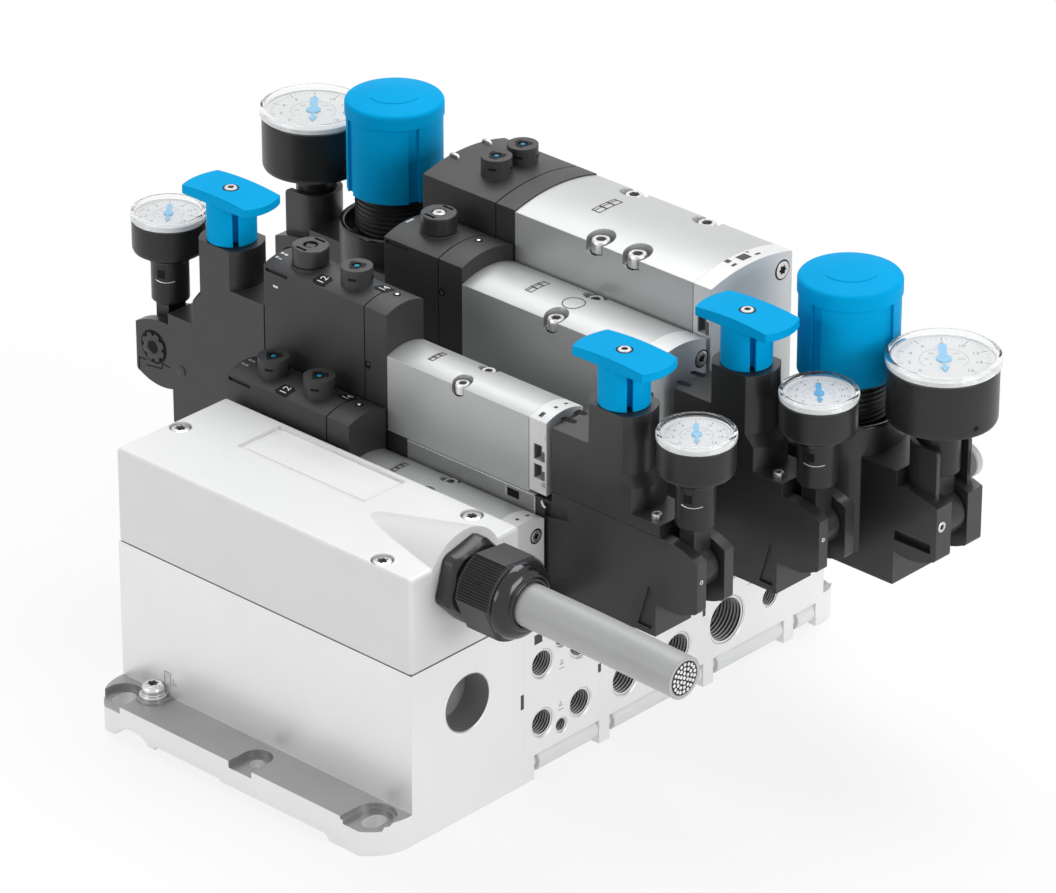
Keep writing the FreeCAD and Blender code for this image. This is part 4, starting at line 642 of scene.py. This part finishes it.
def add_cable():
    """The sheath, and the cut end with its cores."""
    curve = bpy.data.curves.new("cable_sheath", "CURVE")
    curve.dimensions = "3D"
    line = curve.splines.new("NURBS")
    line.points.add(len(CABLE_POINTS) - 1)
    for point, place in zip(line.points, CABLE_POINTS):
        point.co = (*mm(*place), 1)
    line.order_u = 3
    line.use_endpoint_u = True
    line.resolution_u = 12
    curve.bevel_depth = CABLE_DIAMETER / 2 * MM
    curve.bevel_resolution = 14
    curve.use_fill_caps = True
    curve.materials.append(MATERIALS["cable"])
    thing = add_object("cable_sheath", curve)
    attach(thing, "root")
    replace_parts(thing, "cable")
    end = Vector(CABLE_POINTS[-1])
    ahead = (end - Vector(CABLE_POINTS[-2])).normalized()
    fill = Pile().turned(end, ahead, [(6.1, -0.2), (6.1, 0.04)], 48).make("cable_filling", "filler", "cable")
    places = [Vector((0, 0, 0))]
    for count, radius in ((6, 1.72), (12, 3.35), (18, 4.98)):
        places += [heading(tau * (k + 0.3 * radius) / count, radius) for k in range(count)]
    turn = axes_to(ahead)
    cores = Pile()
    modulus = 2147483647
    random = 7
    for place in places:
        random = (random * 16807) % modulus
        shift = 0.25 * (random / modulus - 0.5)
        cores.turned(end + turn @ (place + Vector((shift, -shift, 0))), ahead,
                     [(0.62, 0), (0.62, 0.16), (0.45, 0.24)], 14)
    bright = cores.make("cable_cores", "core", "cable")


# Gauges

def numbers(pile, text, place, across, up, size):
    """Adds a generic number, drawn in the plane of across and up, to a pile."""
    curve = bpy.data.curves.new("number", "FONT")
    curve.body = text
    curve.size = size
    curve.align_x = "CENTER"
    curve.align_y = "CENTER"
    curve.extrude = 0.02
    curve.resolution_u = 2
    thing = add_object("number", curve)
    bpy.context.view_layer.update()
    mesh = bpy.data.meshes.new_from_object(thing)
    across = Vector(across).normalized()
    up = Vector(up).normalized()
    normal = across.cross(up)
    vertices = [(Vector(place) + across * v.co.x + up * v.co.y + normal * v.co.z) * MM for v in mesh.vertices]
    pile.add(vertices, [tuple(face.vertices) for face in mesh.polygons])
    bpy.data.objects.remove(thing)
    bpy.data.curves.remove(curve)
    bpy.data.meshes.remove(mesh)


def add_gauge(look):
    """The case with its neck and barrel, the glass, the pane, the dial and what is on them."""
    body = "gauge_" + look.site
    low = SUB_BASE_TOP + look.low
    ring = SUB_BASE_TOP + look.ring
    top = SUB_BASE_TOP + look.top
    neck = SUB_BASE_TOP + 44.2
    x, y, radius, half, barrel = look.x, look.y, look.radius, look.half, look.barrel
    axis = (x, y, 0)
    pin = half + 3.5
    case = Pile()
    case.turned(axis, UP, [
        (7.6, low - 0.1), (radius - 1.4, low), (radius - 0.45, low + 0.35), (radius - 0.05, low + 1.3),
        (radius, low + 2.2), (radius, ring - 0.25), (radius - 0.25, ring)], 96)
    case.turned(axis, UP, [(6.6, neck), (6.9, neck + 0.4), (6.9, low - 3.4), (6.9, low - 3.3)], 64)
    case.block((x - 3.2, y - half, PIVOT_Z), (x + 3.2, y + half, neck + 1.0))
    case.turned((x, y - half, PIVOT_Z), PLUS_Y, [
        (barrel - 0.3, 0), (barrel, 0.3), (barrel, 2 * half - 0.3), (barrel - 0.3, 2 * half)], 64)
    case.turned((x, y - pin, PIVOT_Z), PLUS_Y, [(3.9, 0), (3.98, 0.2), (3.98, 2 * pin - 0.2), (3.9, 2 * pin)], 40)
    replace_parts(case.make("gauge_case_" + look.site, "case", "gauge_case", body), body)
    Pile().turned(axis, UP, [
        (7.3, low - 3.5), (7.95, low - 3.2), (8.0, low - 2.4), (7.5, low - 1.6), (7.0, low - 1.2),
        (7.0, low + 0.05)], 64).make("gauge_collar_" + look.site, "gloss", "gauge_case", body)
    outer = radius + (0.7 if look.large else 0.35)
    Pile().looped(axis, UP, [
        (radius - 0.5, ring + 0.05), (radius, ring + 0.3), (outer, ring + 0.9), (outer, top - 1.0),
        (outer - 0.25, top - 0.3), (radius - 0.2, top), (radius - 0.9, top), (radius - 1.25, top - 0.4),
        (radius - 1.3, top - 1.2), (radius - 0.5, top - 2.0)], 96).make(
        "gauge_glass_" + look.site, "lens", "gauge_case", body, 50)
    Pile().turned((x, y, top - 1.1), UP, [(radius - 1.32, 0), (radius - 1.32, 0.3)], 96).make(
        "gauge_pane_" + look.site, "window", "gauge_case", body, 50)
    face = top - look.depth
    Pile().turned(axis, UP, [
        (radius - 0.6, ring - 0.2), (radius - 0.6, face + 0.3), (radius - 1.5, face + 0.5), (radius - 1.7, face),
        (0.02, face)], 96, closed=(True, False)).make("gauge_dial_" + look.site, "dial", "gauge_case", body)
    add_dial_ink(look, face + 0.01, body)
    add_pointer(look, face)
    if look.large:
        add_vent(look, low, body)
    else:
        add_adapter_marks(look, low, body)


def add_dial_ink(look, z, body):
    """Scale lines and numbers, turned to be read from the front."""
    up = -heading(TOWARD_VIEW)
    across = up.cross(UP)
    reach = look.radius - 1.6
    dark = Pile()
    pale = Pile()
    centre = Vector((look.x, look.y, z))
    marks = 40

    def ray_at(degrees):
        angle = radians(degrees)
        return up * cos(angle) + across * sin(angle)

    for k in range(marks + 1):
        ray = ray_at(-135 + 270 * k / marks)
        pile, share, width = (dark, 0.13, 0.3) if k % 5 == 0 else (pale, 0.085, 0.16)
        length = share * reach
        pile.prism(centre + ray * (0.93 * reach - length), ray, UP.cross(ray), bar(length, width, length / 2), 0.03)
        if k % 5 == 0:
            numbers(dark, str(2 * k // 5), centre + ray * 0.68 * reach, across, up,
                    (0.15 if look.large else 0.17) * reach)
    inner = 0.47 * reach
    steps = 54
    for k in range(steps):
        first, second = (centre + ray_at(-130 + 260 * end / steps) * inner for end in (k, k + 1))
        pale.stroke(first, second, 0.08, 0.03)
        if k % 9 == 0:
            ray = (first - centre).normalized()
            numbers(pale, str(40 * k // 9), centre + ray * 0.34 * reach, across, up, 0.1 * reach)
    dark.make("dial_marks_" + look.site, "dial_ink", "gauge_case", body)
    pale.make("dial_lines_" + look.site, "dial_line", "gauge_case", body)


def add_pointer(look, face):
    """A blue hand: a small arrow towards the front, a round hub and a broad tail."""
    node = "pointer_" + look.site
    reach = look.radius - 1.6
    ahead = heading(TOWARD_VIEW)
    hub = 0.15 * reach
    wide = 0.075 * reach
    head = 0.36 * reach
    tip = 0.56 * reach
    edge = [(-0.62 * reach, wide), (-0.6 * hub, wide), (0.8 * hub, 0.5 * wide), (head, 0.5 * wide),
            (head, 1.1 * wide), (tip, 0.1 * wide)]
    hand = Pile()
    hand.prism((look.x, look.y, face + 0.25), ahead, UP.cross(ahead),
               [(a, -b) for a, b in edge] + edge[::-1], 0.25)
    hand.turned((look.x, look.y, face + 0.1), UP, [(hub, 0), (hub, 0.5), (0.8 * hub, 0.65)])
    colour = "blue" if look.site == "2_right" else "pointer"
    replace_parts(hand.make(node + "_hand", colour, "pointer", node), node)


def add_vent(look, low, body):
    """The vent in the case of a large gauge, a dark disc of painted shade in its opening."""
    out = heading(TOWARD_VIEW + radians(33.0))
    place = Vector((look.x, look.y, low + 3.6)) + out * (look.radius - 0.25)
    # Painted shade in the opening of the vent.
    Pile().turned(place, out, [(0.95, 0), (0.95, 0.3)], 20).make("gauge_vent_" + look.site, "black_and_painted_shade", "black_cap", body)


def add_adapter_marks(look, low, body):
    """The window, a dark plate of painted shade in its opening, and the wire clip in the adapter of a small gauge."""
    angle = TOWARD_VIEW - radians(24.0)
    out = heading(angle)
    place = Vector((look.x, look.y, low - 7.4)) + out * 6.6
    # Painted shade in the window of the adapter.
    Pile().prism(place, UP.cross(out), UP, bar(2.9, 3.2), 0.32).make(
        "adapter_window_" + look.site, "black_and_painted_shade", "black_cap", body)
    points = []
    for k in range(17):
        drop = 0.5 * sin(pi * k / 16)
        turn = angle + radians(-20 + 62 * k / 16)
        points.append(Vector((look.x, look.y, low - 9.9 - drop)) + heading(turn, 6.98))
    Pile().tube(points, 0.17).make("adapter_clip_" + look.site, "steel", "steel", body)


# Pilots, overrides and valves

def crown_radius(look):
    half = look.width / 2
    return (half ** 2 + look.crown ** 2) / (2 * look.crown)


def crown_height(look, edge, across):
    """Height of a valve's arched top at a distance from its middle."""
    radius = crown_radius(look)
    return look.seat + edge + look.crown - radius + sqrt(radius ** 2 - across ** 2)


def crown_up(look, across):
    """The direction across the row along the arched top."""
    return Vector((0, 1, -across / crown_radius(look)))


def add_pilot_marks():
    """Status lamps, and plates with the port numbers of the overrides."""
    lights = Pile()
    rims = Pile()
    for x, y, z in ((-18.4, 58.25, 145.0), (-18.4, 39.25, 109.8), (-28.3, 109.25, 144.5)):
        rims.turned((x, y, z), UP, [(1.35, 0), (1.35, 0.62), (0.95, 0.62), (0.95, 0.3)], 24)
        lights.turned((x, y, z), UP, [(0.75, 0), (0.75, 0.7), (0.5, 0.85)], 20)
    rims.make("lamp_rims", "black_and_painted_shade", "black_cap")
    lights.make("lamps", "steel", "steel")
    plates = Pile()
    texts = Pile()
    for look, text, x, y in (
            (VALVES[0], "12", -45.7, 30.6), (VALVES[0], "14", -25.5, 40.8),
            (VALVES[1], "12", -45.9, 49.9), (VALVES[1], "14", -24.9, 58.7)):
        z = crown_height(look, look.pilot_edge, y - look.y)
        up = crown_up(look, y - look.y)
        plates.prism((x, y, z + 0.03), PLUS_X, up, [
            (-3.4, -1.6), (-2.2, -2.5), (2.6, -2.5), (3.4, 1.6), (2.2, 2.5), (-2.6, 2.5)], 0.07)
        numbers(texts, text, (x, y, z + 0.14), up, -PLUS_X, 4.2)
    plates.make("number_plates", "black_and_painted_shade", "black_cap")
    texts.make("port_numbers", "paint", "black_cap")


def add_overrides():
    """The toothed dark mouth over each plunger and the slots in the collars, both painted shade, and the centres of
    the turning caps, with painted shade on the floor of one.
    """
    mouths = Pile()
    gaps = Pile()
    low, high = SUB_BASE_TOP + 52.05, RAISED_SEAT + 52.05
    top = RAISED_SEAT + 64.8
    for number, (site, x, y, lift) in enumerate((
            ("1a", -57.4, Y_SMALL_1, low), ("1b", -35.1, Y_SMALL_1, low), ("2a", -35.1, Y_SMALL_2, high),
            ("4a", -43.0, Y_LARGE - 6.75, top), ("4b", -43.0, Y_LARGE + 6.75, top))):
        def mouth(angle):
            return 2.95 + 0.5 * cos(3 * angle + 0.8) + 0.25 * cos(7 * angle + number)

        # Painted shade in the opening round the plunger.
        mouths.turned((x, y, lift), UP, [(mouth, 0), (mouth, 0.05), (1.75, 0.05), (1.75, -0.28)], 48,
                      closed=(False, False))
        # Painted shade in the slots of the collar.
        for turn, height in ((-1.1, 3.2), (0.55, 3.9)):
            out = heading(turn)
            gaps.prism(Vector((x, y, lift - height)) + out * 5.32, UP.cross(out), UP, bar(2.9, 0.9), 0.33)
        body = "plunger_" + site
        Pile().turned((x, y, lift - 0.5), UP, [(0.95, 0), (0.95, 0.35), (0.75, 0.5)], 24).make(
            body + "_face", "teal", "blue_plastic", body)
    mouths.make("override_mouths", "black_and_painted_shade", "black_cap")
    gaps.make("collar_slots", "black_and_painted_shade", "black_cap")
    Pile().turned((-44.0, Y_MEDIUM, 150.75), UP, [
        (2.5, 0), (2.5, 1.0), (2.0, 1.35), (star(1.0), 1.35), (star(1.0), 0.6)], 36).make(
        "turning_cap_3_screw", "steel", "steel", "turning_cap_3")
    # Painted shade on the floor of the cap's recess.
    Pile().turned((-57.4, Y_SMALL_2, 151.2), UP, [(2.65, 0), (2.65, 0.05)]).make(
        "turning_cap_2_floor", "black_and_painted_shade", "black_cap", "turning_cap_2")
    Pile().prism((-57.4, Y_SMALL_2, 151.25), (1, 0.4, 0), (-0.4, 1, 0), bar(3.2, 2.6), 0.9).make(
        "turning_cap_2_square", "black", "black_cap", "turning_cap_2")


def add_clips():
    """Bright bent clips that hold the pilots and covers."""
    clips = Pile()
    large = VALVES[3]
    along = PLUS_X * 2.1
    rise = Vector((0, 0.1, 1)).normalized() * 0.9
    bend = ((-1, -0.6), (-0.95, 0.4), (-0.6, 1), (0.6, 1), (0.95, 0.4), (1, -0.6))
    for y in (150.3, 133.6):
        z = crown_height(large, large.pilot_edge, y - large.y)
        clips.tube([Vector((-63.0, y, z + 0.1)) + along * a + rise * b for a, b in bend], 0.5)
        clips.block((-65.5, y - 1.0, z - 2.6), (-65.0, y + 1.0, z - 0.2))
    for y, z in ((54.4, 145.35), (51.6, 144.85), (37.7, 110.15), (34.3, 110.0)):
        clips.block((-70.4, y - 0.55, z - 0.3), (-69.3, y + 0.55, z + 0.35))
        clips.block((-68.9, y - 0.45, z - 0.3), (-67.4, y + 0.45, z + 0.25))
    clips.block((-57.4, 102.4, 144.4), (-56.4, 106.2, 145.1))
    clips.block((-67.0, 46.55, 136.4), (-64.6, 46.8, 137.2))
    for z in (122.6, 104.8):
        clips.block((60.1, 46.5, z - 1.1), (61.6, 46.9, z + 0.9))
    clips.tube([(60.0, 46.7, 98.6), (60.2, 46.6, 97.6), (60.9, 46.6, 96.7), (61.8, 46.7, 96.3)], 0.45)
    clips.make("clips", "steel", "steel")
    hollows = Pile()
    pins = Pile()
    for x, y, z in ((-30.3, 92.75, 130.0), (-21.6, 46.75, 121.6), (-21.6, 27.75, 86.4)):
        # Painted shade: a dark disc in each hollow beside a pin.
        hollows.turned((x, y + 0.5, z), -PLUS_Y, [(1.5, 0), (1.5, 0.54)], 24)
        pins.turned((x + 0.3, y, z + 0.2), -PLUS_Y, [(0.8, -0.4), (0.8, 0.15), (0.5, 0.3)], 16)
    pins.make("pilot_pins", "gloss", "black_cap")
    hollows.make("clip_hollows", "black_and_painted_shade", "black_cap")


def add_valve_marks():
    """Plain marks on the valve tops and end caps: a circle, squares and rows of boxes."""
    marks = Pile()
    small, medium, large = VALVES[:2], VALVES[2], VALVES[3]

    def flat_mark(look, x, across, outline):
        z = crown_height(look, look.body_edge, across)
        marks.prism((x, look.y + across, z + 0.03), PLUS_X, crown_up(look, across), outline, 0.05)

    line = 0.32
    for look, x, size in ((small[0], 3.0, 1.2), (small[1], 3.0, 1.2), (medium, 3.0, 1.6), (large, 3.5, 2.0)):
        for k in (-1, 0, 1):
            for low, high in (((-size, -size), (size, -size + line)), ((-size, size - line), (size, size)),
                              ((-size, -size), (-size + line, size)), ((size - line, -size), (size, size)),
                              ((-0.4 * size, -size), (-0.4 * size + 0.3, size))):
                flat_mark(look, x, k * 2 * size, corners(low, high))
    marks.circle(21.1, 104.65, 4.0, lambda y: crown_height(medium, medium.body_edge, y - medium.y) + 0.03, 0.2, 48)
    for x, y, length, width in ((65.5, 141.9, 3.6, 4.4), (63.6, 135.9, 2.0, 2.0), (67.0, 135.3, 1.1, 2.2),
                                (66.9, 147.6, 1.0, 2.4), (63.6, 146.0, 0.9, 0.9)):
        flat_mark(large, x, y - large.y, bar(length, width))
    for y, z, width, height in ((138.4, 152.9, 2.4, 1.2), (138.3, 150.5, 2.0, 1.9), (150.4, 152.7, 2.4, 1.2),
                                (150.3, 149.9, 2.0, 1.9)):
        marks.prism((67.45, y, z), PLUS_Y, UP, bar(width, height), 0.06)
    for look in small:
        for x, across, length, width in ((57.6, -6.3, 1.6, 2.3), (58.6, -0.6, 1.2, 1.2), (58.6, 4.4, 0.9, 1.7)):
            flat_mark(look, x, across, bar(length, width))
    marks.make("valve_marks", "dark_mark", "valve_metal")


def add_end_cap_marks():
    """The shaded pockets of the end caps and the joints between caps and valves."""
    pockets = Pile()
    gaps = Pile()
    small_pockets = ((6.2, 5.4), (13.3, 5.8))
    for look, places in zip(VALVES, (
            small_pockets, small_pockets, ((9.0, 7.0), (20.0, 8.0)), ((12.0, 12.0), (37.2, 7.8)))):
        face = look.y - look.width / 2
        x0, x1 = look.body_end + 2.2, look.cap_end - 2.0
        for low, height in places:
            z0, z1 = look.seat + low, look.seat + low + height
            pockets.block((x0 + 0.02, face + 2.7, z0 + 0.02), (x1 - 0.02, face + 2.98, z1 - 0.02))
            pockets.block((x1 - 0.3, face - 0.04, z0), (x1 + 1.3, face + 0.1, z1 - 0.35 * height))
            pockets.block((x0 + 0.02, face + 0.3, z0 + 0.02), (x0 + 0.3, face + 2.9, z1 - 0.02))
        gaps.block((look.body_end - 0.12, face - 0.03, look.seat + 1.2),
                   (look.body_end + 0.12, face + 0.1, look.seat + look.body_edge - 0.3))
    pockets.make("end_cap_pockets", "shade", "end_cap")
    gaps.make("end_cap_joints", "dark_mark", "valve_metal")


# Regulators

def add_fork_marks():
    """The toothed rings at the pivots with painted shade behind and inside them, the dark outline of a catch under
    one of them, and a small round pad.
    """
    rings = Pile()
    dark = Pile()

    def flower(angle):
        return 5.6 - 1.1 * max(0.0, cos(8 * angle)) ** 0.6

    for look in GAUGES:
        side = 1 if look.x > 0 else -1
        place = (look.x, look.y + side * (12.0 if look.large else 9.0), PIVOT_Z)
        # Painted shade: a dark disc behind each toothed ring, and a smaller one inside its middle.
        dark.turned(place, side * PLUS_Y, [(6.5, 0.0), (6.5, 0.05)], 48)
        rings.turned(place, side * PLUS_Y, [
            (flower, 0), (flower, 0.45), (4.1, 0.6), (2.7, 0.6), (2.5, 0.2)], 96)
        dark.turned(place, side * PLUS_Y, [(2.3, 0.1), (2.3, 0.32)])
    y = Y_SMALL_2 - 9.0
    path = [(-136.4, 81.0), (-136.3, 85.7), (-132.8, 85.7), (-132.6, 83.7), (-124.6, 84.9), (-124.2, 87.0),
            (-120.4, 86.6), (-120.4, 80.4)]
    for (x0, z0), (x1, z1) in zip(path, path[1:]):
        up = UP if abs(z1 - z0) < abs(x1 - x0) else -PLUS_X
        dark.stroke((x0, y + 0.04, z0), (x1, y + 0.04, z1), 0.25, 0.1, up)
    rings.turned((-114.8, y, 87.1), -PLUS_Y, [(2.2, 0), (2.2, 0.2), (1.9, 0.25)])
    rings.make("fork_rings", "black", "black_housing")
    dark.make("fork_hollows", "black_and_painted_shade", "black_cap")


def add_far_cap():
    """The pale round cap that shows over the far arm of the front large regulator."""
    Pile().turned((158.5, 149.6, 109.3), PLUS_Y, [(5.6, 0), (6.0, 0.4), (6.0, 2.6), (5.6, 3.0)], 48).make(
        "far_arm_cap", "grey", "black_cap")


def add_regulator_notches():
    """Round-ended dark notches on the inner steps of the small regulators, drawn as flat ovals of painted shade."""
    dark = Pile()
    for x, y in ((64.9, 54.9), (63.6, 61.7), (74.9, 101.3), (73.6, 110.0)):
        dark.prism((x, y, 127.48), (1, 0.1, 0), (-0.1, 1, 0), oval(6.0, 2.6), 0.08)
    dark.make("regulator_notches", "black_and_painted_shade", "black_cap")


def add_bonnet_threads():
    rings = []
    for turn in range(8):
        low = 1.85 * turn
        rings += [(14.02, low), (14.02, low + 0.5), (14.75, low + 0.95), (14.75, low + 1.2), (14.02, low + 1.65)]
    for side, x in LARGE_BONNETS:
        Pile().turned((x, Y_LARGE, 117.3), UP, rings, 64, closed=(False, False)).make(
            "bonnet_threads_" + side, "case", "black_housing", sharp=30)


def add_bowl_rims():
    """The rounded bright lip of the cups round the large bonnets."""
    sides = 10
    rings = [(19.4 + 1.15 * cos(tau * k / sides), 1.15 * sin(tau * k / sides))
             for k in range(sides)]
    for side, x in LARGE_BONNETS:
        Pile().looped((x, Y_LARGE, SUB_BASE_TOP + 54.35), UP, rings, 96).make(
            "bowl_rim_" + side, "gloss", "black_housing", sharp=60)


def add_knob_details():
    """Screws on the small knobs, with painted shade in the well round each screw and in its socket, and a raised arc
    on the domes of the large ones.
    """
    top = SUB_BASE_TOP + 97.05
    for site, x, y in (("1_right", 88.8, Y_SMALL_2), ("1_left", -96.4, Y_SMALL_2), ("2_right", 98.8, Y_MEDIUM)):
        # The well and the socket are dark discs of painted shade.
        for part, material, slot, lift, rings, steps in (
                ("well", "black_and_painted_shade", "black_cap", -0.4, [(2.95, 0), (2.95, 0.46), (2.4, 0.46), (2.4, 0.1)], 32),
                ("screw", "steel", "steel", -0.4, [
                    (2.3, 0), (2.3, 0.5), (2.0, 0.8), (hexagonal(1.1), 0.8), (hexagonal(1.1), 0.2)], 36),
                ("socket", "black_and_painted_shade", "black_cap", 0.02, [(hexagonal(1.08), 0), (hexagonal(1.08), 0.1)], 36)):
            Pile().turned((x, y, top + lift), UP, rings, steps).make(
                "knob_" + part + "_" + site, material, slot, "knob_" + site)
    for side, x in LARGE_BONNETS:
        centre = Vector((x, Y_LARGE, SUB_BASE_TOP + 104.58))
        Pile().tube([centre + heading(TOWARD_VIEW + radians(-62 + 124 * k / 18), 9.5) for k in range(19)],
                    0.3, 6).make("knob_arc_3_" + side, "blue", "blue_plastic", "knob_3_" + side)


# Camera, light and floor

def setup_camera():
    right = heading(CAMERA_AZIMUTH)
    up = UP.cross(right) * sin(CAMERA_ELEVATION) + UP * cos(CAMERA_ELEVATION)
    camera = bpy.data.cameras.new("camera")
    camera.lens = CAMERA_LENS
    camera.sensor_width = 36.0
    camera.sensor_fit = "HORIZONTAL"
    camera.clip_end = 20.0
    thing = add_object("camera", camera)
    turn = Matrix((right, up, right.cross(up))).transposed()
    thing.matrix_world = Matrix.Translation(CAMERA_EYE) @ turn.to_4x4()
    bpy.context.scene.camera = thing


def add_lamp(name, place, size, power):
    light = bpy.data.lights.new(name, "AREA")
    light.shape = "RECTANGLE"
    light.size, light.size_y = size
    light.energy = power
    direction = Vector(LAMP_TARGET) - Vector(place)
    turn = direction.to_track_quat("-Z", "Y").to_matrix()
    add_object(name, light).matrix_world = Matrix.Translation(place) @ turn.to_4x4()


def seen_rays(tree):
    """One for camera, glossy and transmission rays."""
    path = tree.nodes.new("ShaderNodeLightPath")
    total = path.outputs["Is Camera Ray"]
    for kind in ("Is Glossy Ray", "Is Transmission Ray"):
        either = tree.nodes.new("ShaderNodeMath")
        either.operation = "MAXIMUM"
        tree.links.new(total, either.inputs[0])
        tree.links.new(path.outputs[kind], either.inputs[1])
        total = either.outputs["Value"]
    return total


def show_mixed(tree, share, first, second, output):
    """Sends a mix of two shader nodes to the output node."""
    mix = tree.nodes.new("ShaderNodeMixShader")
    for start, end in zip((share, first.outputs[0], second.outputs[0]), mix.inputs):
        tree.links.new(start, end)
    tree.links.new(mix.outputs["Shader"], tree.nodes[output].inputs["Surface"])


def setup_light():
    """Three soft lamps and a dim sky, which the rays that are seen find white."""
    world = bpy.data.worlds.new("studio")
    bpy.context.scene.world = world
    world.use_nodes = True
    tree = world.node_tree
    sky = tree.nodes["Background"]
    white = tree.nodes.new("ShaderNodeBackground")
    for background, strength in ((sky, SKY_STRENGTH), (white, 1.0)):
        give(background, {"Color": (1, 1, 1, 1), "Strength": strength})
    show_mixed(tree, seen_rays(tree), sky, white, "World Output")
    for lamp in LAMPS:
        add_lamp(*lamp)


def add_floor():
    """A pale floor that keeps the shadow and looks nearly white."""
    mesh = bpy.data.meshes.new("floor")
    edge = [(a, b, 0) for a, b in corners((-FLOOR_SIZE, -FLOOR_SIZE), (FLOOR_SIZE, FLOOR_SIZE))]
    mesh.from_pydata(edge, [], [(0, 1, 2, 3)])
    material, tree, shader = node_tree("floor")
    give(shader, {"Base Color": (0.92, 0.92, 0.92, 1), "Roughness": 0.9, "Specular IOR Level": 0.1})
    glow = tree.nodes.new("ShaderNodeEmission")
    glow.inputs["Strength"].default_value = 1.0
    share = tree.nodes.new("ShaderNodeMath")
    share.operation = "MULTIPLY"
    share.inputs[1].default_value = FLOOR_GLOW
    tree.links.new(seen_rays(tree), share.inputs[0])
    show_mixed(tree, share.outputs["Value"], shader, glow, "Material Output")
    mesh.materials.append(material)
    thing = add_object("floor", mesh)
    thing.location = (0, 0, -FLOOR_DROP)


dress_frame()
add_cover_screws()
add_valve_screws()
add_earth_screw()
add_regulator_screws()
SCREWS.make("screws", "steel", "steel")
SOCKET_SHADE.make("screw_socket_shade", "black_and_painted_shade", "black_cap")
add_tie_rods()
add_ports()
add_bonnet_threads()
add_gland()
add_cable()
for gauge in GAUGES:
    add_gauge(gauge)
add_pilot_marks()
add_overrides()
add_clips()
add_valve_marks()
add_end_cap_marks()
add_fork_marks()
add_far_cap()
add_regulator_notches()
add_base_marks()
add_cover_label()
add_knob_details()
add_bowl_rims()
add_plate_marks()
setup_camera()
setup_light()
add_floor()
bpy.context.scene.view_settings.view_transform = "Standard"
